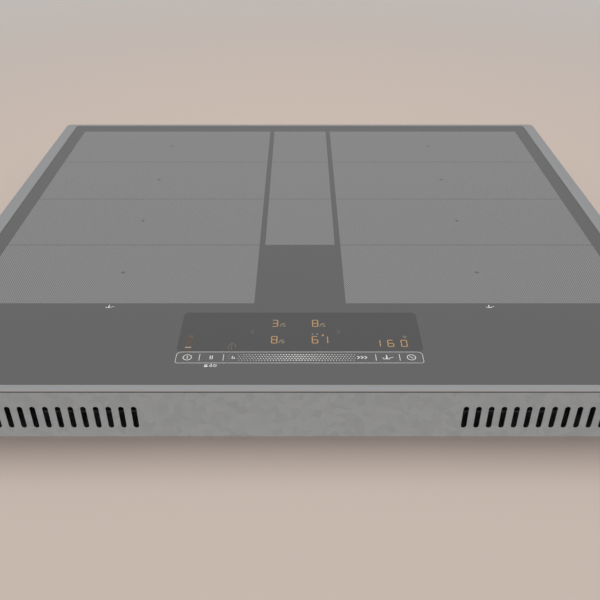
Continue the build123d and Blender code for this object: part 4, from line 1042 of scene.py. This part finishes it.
# The displays shine amber through the window: levels of four zones in the middle, the timer at the right and
# a level bar at the left. Their figures are made of seven straight segments with pointed ends.
LEVEL_FIGURE = (9.0, 4.7, 0.72)
LEVELS = (("3", -19.1, 72.5), ("8", 11.6, 72.5), ("8", -19.1, 51.5), ("6", 11.1, 51.5), ("1", 18.5, 51.5))
LEVEL_TICK = (17.1, 57.0, 1.3, 1.8)
HALF_FIGURE = (4.4, 2.6, 0.55)
HALVES = ((-12.3, 70.4), (17.9, 70.4), (-12.8, 49.5))
HALF_STROKE = ((-2.9, -2.0), (-1.7, 1.6))
TIMER_FIGURE = (8.4, 4.8, 0.72)
TIMER_ROW = 47.1
TIMER = (("1", 57.0), ("6", 66.8), ("0", 76.7))
TIMER_RING = (78.0, 55.0)
TIMER_RING_RADIUS = 1.0
TIMER_RING_LINE = 0.45
ARROW_COLUMNS = (-35.8, 28.9)
ARROW_ROW = 61.7
ARROW_LINE = 0.7
HOOD_PLACE = (-49.8, 43.6)
HOOD_LINE = 0.65
LEVEL_BARS = ((-81.8, 49.1, 4.6, 12.4), (-81.8, 39.8, 4.6, 3.2))
LEVEL_MARK = (-81.8, 42.2, 4.6, 1.2)
LEVEL_BAR_TOP = (-81.2, 56.0, 2.9, 1.1)
STATUS_COLUMNS = (9.4, 13.0)
STATUS_ROW = 58.6
STATUS_RADIUS = 0.8
SEGMENTS_OF = {"0": "abcdef", "1": "bc", "3": "abcdg", "5": "acdfg", "6": "acdefg", "8": "abcdefg"}
SEGMENT_SLACK = 0.15
AMBER = (0.54, 0.31, 0.125, 1.0)
AMBER_PALE = (0.31, 0.25, 0.17, 1.0)
OLIVE = (0.115, 0.11, 0.082, 1.0)
EMBER = (0.058, 0.050, 0.0455, 1.0)
COOL_WHITE = (0.20, 0.21, 0.24, 1.0)
WARM_WHITE = (0.37, 0.333, 0.297, 1.0)
UNLIT_FACE = (0.05, 0.03, 0.02, 1.0)
GLOW_CLOUDS_PER_METRE = 420.0
GLOW_LOW = 0.82


def bar_segment(centre, length, width, upright):
    """A bar with a point at each end, lying along X or standing along Y."""
    half = length / 2
    body = half - width / 2
    shape = np.array([(-half, 0), (-body, -width / 2), (body, -width / 2),
                      (half, 0), (body, width / 2), (-body, width / 2)])
    return centre + (shape[:, ::-1] if upright else shape)


def figure(sign, centre, size):
    """Seven-segment figure: a to f go round from the top, and g lies across the middle."""
    height, width, line = size
    x = (width - line) / 2
    y = (height - line) / 2
    tall = y - SEGMENT_SLACK * line
    wide = 2 * x - SEGMENT_SLACK * line
    layout = {
        "a": ((0, y), wide, False),
        "b": ((x, y / 2), tall, True),
        "c": ((x, -y / 2), tall, True),
        "d": ((0, -y), wide, False),
        "e": ((-x, -y / 2), tall, True),
        "f": ((-x, y / 2), tall, True),
        "g": ((0, 0), wide, False),
    }
    outlines = []
    for name in SEGMENTS_OF[sign]:
        place, length, upright = layout[name]
        outlines.append(bar_segment(np.array(centre) + place, length, line, upright))
    return slabs(outlines)


def level_figures():
    """The zones' levels, a short tick at one of them, and the timer."""
    levels = [figure(sign, (x, y), LEVEL_FIGURE) for sign, x, y in LEVELS]
    timer = [figure(sign, (x, TIMER_ROW), TIMER_FIGURE) for sign, x in TIMER]
    return levels + timer + [bars([LEVEL_TICK])]


def half_figures():
    """A slanting stroke and a small 5 beside a figure, for half a level more, and the timer's ring."""
    parts = []
    for place in HALVES:
        parts.append(figure("5", place, HALF_FIGURE))
        parts.append(stroke(np.array(HALF_STROKE) + place, HALF_FIGURE[2]))
    return parts + [stroke(circle(TIMER_RING, TIMER_RING_RADIUS, 16), TIMER_RING_LINE, True)]


def faint_signs():
    """An arrow head pointing out at each side, a roof on a post, and the mark over the level bar."""
    arrow = np.array([(1.2, 2.5), (-1.2, 0.0), (1.2, -2.5)])
    hood = np.array([(-2.5, -3.6), (-2.5, 0.9), (-0.3, 4.2), (2.6, 1.1), (2.6, -1.6)])
    post = np.array([(-0.3, 2.8), (-0.3, -4.4)])
    left, right = ARROW_COLUMNS
    arrows = (arrow + (left, ARROW_ROW), arrow * (-1, 1) + (right, ARROW_ROW))
    parts = [stroke(line, ARROW_LINE) for line in arrows]
    parts += [stroke(line + HOOD_PLACE, HOOD_LINE) for line in (hood, post)]
    return parts + [bars([LEVEL_BAR_TOP])]


def status_dots():
    """Two small round lamps."""
    return [slabs([circle((x, STATUS_ROW), STATUS_RADIUS, 12) for x in STATUS_COLUMNS])]


def shining(name, colour):
    """A lit display face: dark when off, with its own light."""
    finish = Finish(name)
    glow = finish.noise(GLOW_CLOUDS_PER_METRE, detail=2.0)
    dimmer = tuple(GLOW_LOW * part for part in colour[:3]) + (1.0,)
    return finish.surface({
        "Base Color": UNLIT_FACE,
        "Roughness": 0.3,
        "Emission Color": finish.mix(glow, dimmer, colour),
        "Emission Strength": 1.0,
    })


def display(name, parts, light, colour):
    """One lit piece of the displays."""
    piece(name, parts, shining(light, colour), "cooktop")


display("level_figures", level_figures(), "amber_light", AMBER)
display("half_figures", half_figures(), "pale_amber_light", AMBER_PALE)
display("faint_signs", faint_signs(), "olive_light", OLIVE)
display("level_bar", [bars(LEVEL_BARS)], "ember_light", EMBER)
display("level_mark", [bars([LEVEL_MARK])], "white_light", WARM_WHITE)
display("status_dots", status_dots(), "cool_light", COOL_WHITE)


# The mains inlet is a black moulded box in a notch of the casing's rear edge. It has a hinged lid, a rubber
# grommet for the cable and a pale terminal block inside. The lid has moulded grip bars near its upper edge.
LID_SHEET = 2.0
GRIP_BARS = 4
GRIP_STEPS = 9
GRIP_PITCH = 2.2
GRIP_RADIUS = 0.7
GRIP_SIDE_GAP = 8.0
GRIP_TOP_GAP = 3.0
RUBBER_DARK = (0.014, 0.014, 0.015, 1.0)
RUBBER_LIGHT = (0.03, 0.03, 0.032, 1.0)
BLOCK_DARK = (0.50, 0.48, 0.42, 1.0)
BLOCK_LIGHT = (0.66, 0.64, 0.57, 1.0)
SLOTTED_RADIUS = 2.2
SLOTTED_HEIGHT = 1.4
SLOTTED_EDGE = 0.25
SLOTTED_SHANK_RADIUS = 1.2
SLOTTED_SHANK_LENGTH = 0.5
SLOTTED_ARMS = 1
SLOTTED_DEPTH = 0.7
POLES = 5


def lid_face():
    """Y of the lid's outer face, half the lid's sheet behind its hinge line."""
    hinge = next(joint for joint in frame["joints"] if joint["name"] == "terminal_cover_hinge")
    return hinge["pos_m"][1] / MM + LID_SHEET / 2


def grip_bars():
    """Half-round bars along X on the lid's outer face: one half ring at both ends of each bar."""
    low, high = box_of("terminal_cover")
    bend = np.linspace(0, math.pi, GRIP_STEPS)
    x = np.array([[low[0] + GRIP_SIDE_GAP], [high[0] - GRIP_SIDE_GAP]])
    y = lid_face() + GRIP_RADIUS * np.sin(bend)
    parts = []
    for index in range(GRIP_BARS):
        z = high[2] - GRIP_TOP_GAP - index * GRIP_PITCH + GRIP_RADIUS * np.cos(bend)
        points = np.stack(np.broadcast_arrays(x, y, z), axis=-1)
        parts.append((points, tube_faces(len(x), GRIP_STEPS, False)))
    return parts


def terminal_screws():
    """Cheese-head screws with one slot, evenly along the block's rear face."""
    low, high = box_of("terminal_screws")
    points, faces = screw(SLOTTED_RADIUS, SLOTTED_HEIGHT, SLOTTED_EDGE, SLOTTED_SHANK_RADIUS,
                          SLOTTED_SHANK_LENGTH, SLOTTED_ARMS, SLOTTED_DEPTH)
    x = np.linspace(low[0] + SLOTTED_RADIUS, high[0] - SLOTTED_RADIUS, POLES)
    level = (low[2] + high[2]) / 2
    return [(aimed(points, (place, low[1], level), (0, 1, 0)), faces) for place in x]


dress(black_moulding, "terminal_box", "terminal_cover")
dress(moulded("grommet_rubber", RUBBER_DARK, RUBBER_LIGHT, grain=900.0, relief=0.00004, roughness=0.6),
      "inlet_grommet")
dress(moulded("block_moulding", BLOCK_DARK, BLOCK_LIGHT, grain=1300.0, relief=0.00003, roughness=0.4),
      "terminal_block")
dress(moulded("lead_sleeve", SLEEVE_DARK, SLEEVE_LIGHT, grain=1500.0, relief=0.00003, roughness=0.4),
      "mains_leads")
piece("lid_grip_bars", grip_bars(), black_moulding, "terminal_cover")
slotted_screws = piece("slotted_screws", terminal_screws(), screw_metal, "cooktop")
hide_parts("terminal_screws")


# The floor is a plain pale sheet that the casing stands on. It shows from above only, and away from the
# casing it fades into the surround.
FLOOR_COLOUR = (0.62, 0.52, 0.462, 1.0)
FLOOR_HALF = 2000.0
FLOOR_NEAR = 500.0
FLOOR_FAR = 1800.0


def floor_finish():
    """Matt from above and clear from below; from the near to the far distance it fades out."""
    finish = Finish("floor_finish")
    x, y, _ = finish.axes()
    distance = (x * x + y * y).math("SQRT")
    far = ((distance - FLOOR_NEAR) / (FLOOR_FAR - FLOOR_NEAR)).math("MAXIMUM", 0.0).math("MINIMUM", 1.0)
    below = finish.node("ShaderNodeNewGeometry", output="Backfacing")
    matt = finish.node("ShaderNodeBsdfDiffuse", None, {"Color": FLOOR_COLOUR})
    clear = finish.node("ShaderNodeBsdfTransparent")
    shader = finish.node("ShaderNodeMixShader", None, [far.math("MAXIMUM", below), matt, clear])
    finish.node("ShaderNodeOutputMaterial", None, {"Surface": shader})
    return finish.material


floor_level = cad_low[2] / MM
floor_corners = np.array([(-1, -1, 0), (1, -1, 0), (1, 1, 0), (-1, 1, 0)]) * FLOOR_HALF + (0, 0, floor_level)
floor_mesh = bpy.data.meshes.new("floor")
floor_mesh.from_pydata(floor_corners * MM, [], [(0, 1, 2, 3)])
floor_mesh.materials.append(floor_finish())
floor = bpy.data.objects.new("floor", floor_mesh)
floor.visible_diffuse = False
floor.visible_glossy = False
floor.visible_shadow = False
bpy.context.scene.collection.objects.link(floor)


# Light comes from a broad soft lamp overhead and from an even surround.
# Mirror-like faces reflect the surround alone, without the lamp's square.
LAMP_PLACE = (0.0, 0.1, 1.7)
LAMP_SIZE = 1.8
LAMP_WATTS = 21.5
SURROUND_BELOW = (0.56, 0.54, 0.52, 1.0)
SURROUND_HORIZON = (0.66, 0.66, 0.66, 1.0)
SURROUND_ABOVE = (0.38, 0.38, 0.38, 1.0)
SURROUND_OVERHEAD = (0.48, 0.48, 0.48, 1.0)
SURROUND = [(0.0, SURROUND_BELOW), (0.49, SURROUND_BELOW), (0.52, SURROUND_HORIZON), (0.62, SURROUND_ABOVE),
            (0.76, SURROUND_ABOVE), (0.84, SURROUND_OVERHEAD), (1.0, SURROUND_OVERHEAD)]


def light_surround():
    """Pale at the horizon, quieter above it and a little brighter overhead."""
    world = bpy.data.worlds.new("surround")
    tree = Tree(world)
    direction = tree.node("ShaderNodeTexCoord", output="Generated")
    height = tree.node("ShaderNodeSeparateXYZ", None, [direction], "Z")
    colour = tree.node("ShaderNodeValToRGB", {"stops": SURROUND}, [0.5 * height + 0.5])
    shader = tree.node("ShaderNodeBackground", None, {"Color": colour, "Strength": 1.0})
    tree.node("ShaderNodeOutputWorld", None, {"Surface": shader})
    bpy.context.scene.world = world


light_surround()
lamp_data = bpy.data.lights.new("soft_lamp", "AREA")
lamp_data.shape = "SQUARE"
lamp_data.size = LAMP_SIZE
lamp_data.energy = LAMP_WATTS
lamp = bpy.data.objects.new("soft_lamp", lamp_data)
lamp.location = LAMP_PLACE
lamp.visible_glossy = False
bpy.context.scene.collection.objects.link(lamp)


# The camera looks down over the front edge of the glass, from the front.
# Its place, pitch and lens were fitted to the straight edges of the frame and the zones.
CAMERA_PLACE = (0.0, -0.6307, 0.3258)
CAMERA_PITCH = 33.63
CAMERA_LENS = 43.66
CAMERA_SENSOR = 36.0

camera_data = bpy.data.cameras.new("camera")
camera_data.lens = CAMERA_LENS
camera_data.sensor_width = CAMERA_SENSOR
camera = bpy.data.objects.new("camera", camera_data)
camera.location = CAMERA_PLACE
camera.rotation_euler = (math.radians(90.0 - CAMERA_PITCH), 0.0, 0.0)
bpy.context.scene.collection.objects.link(camera)
bpy.context.scene.camera = camera
bpy.context.scene.view_settings.view_transform = "Standard"
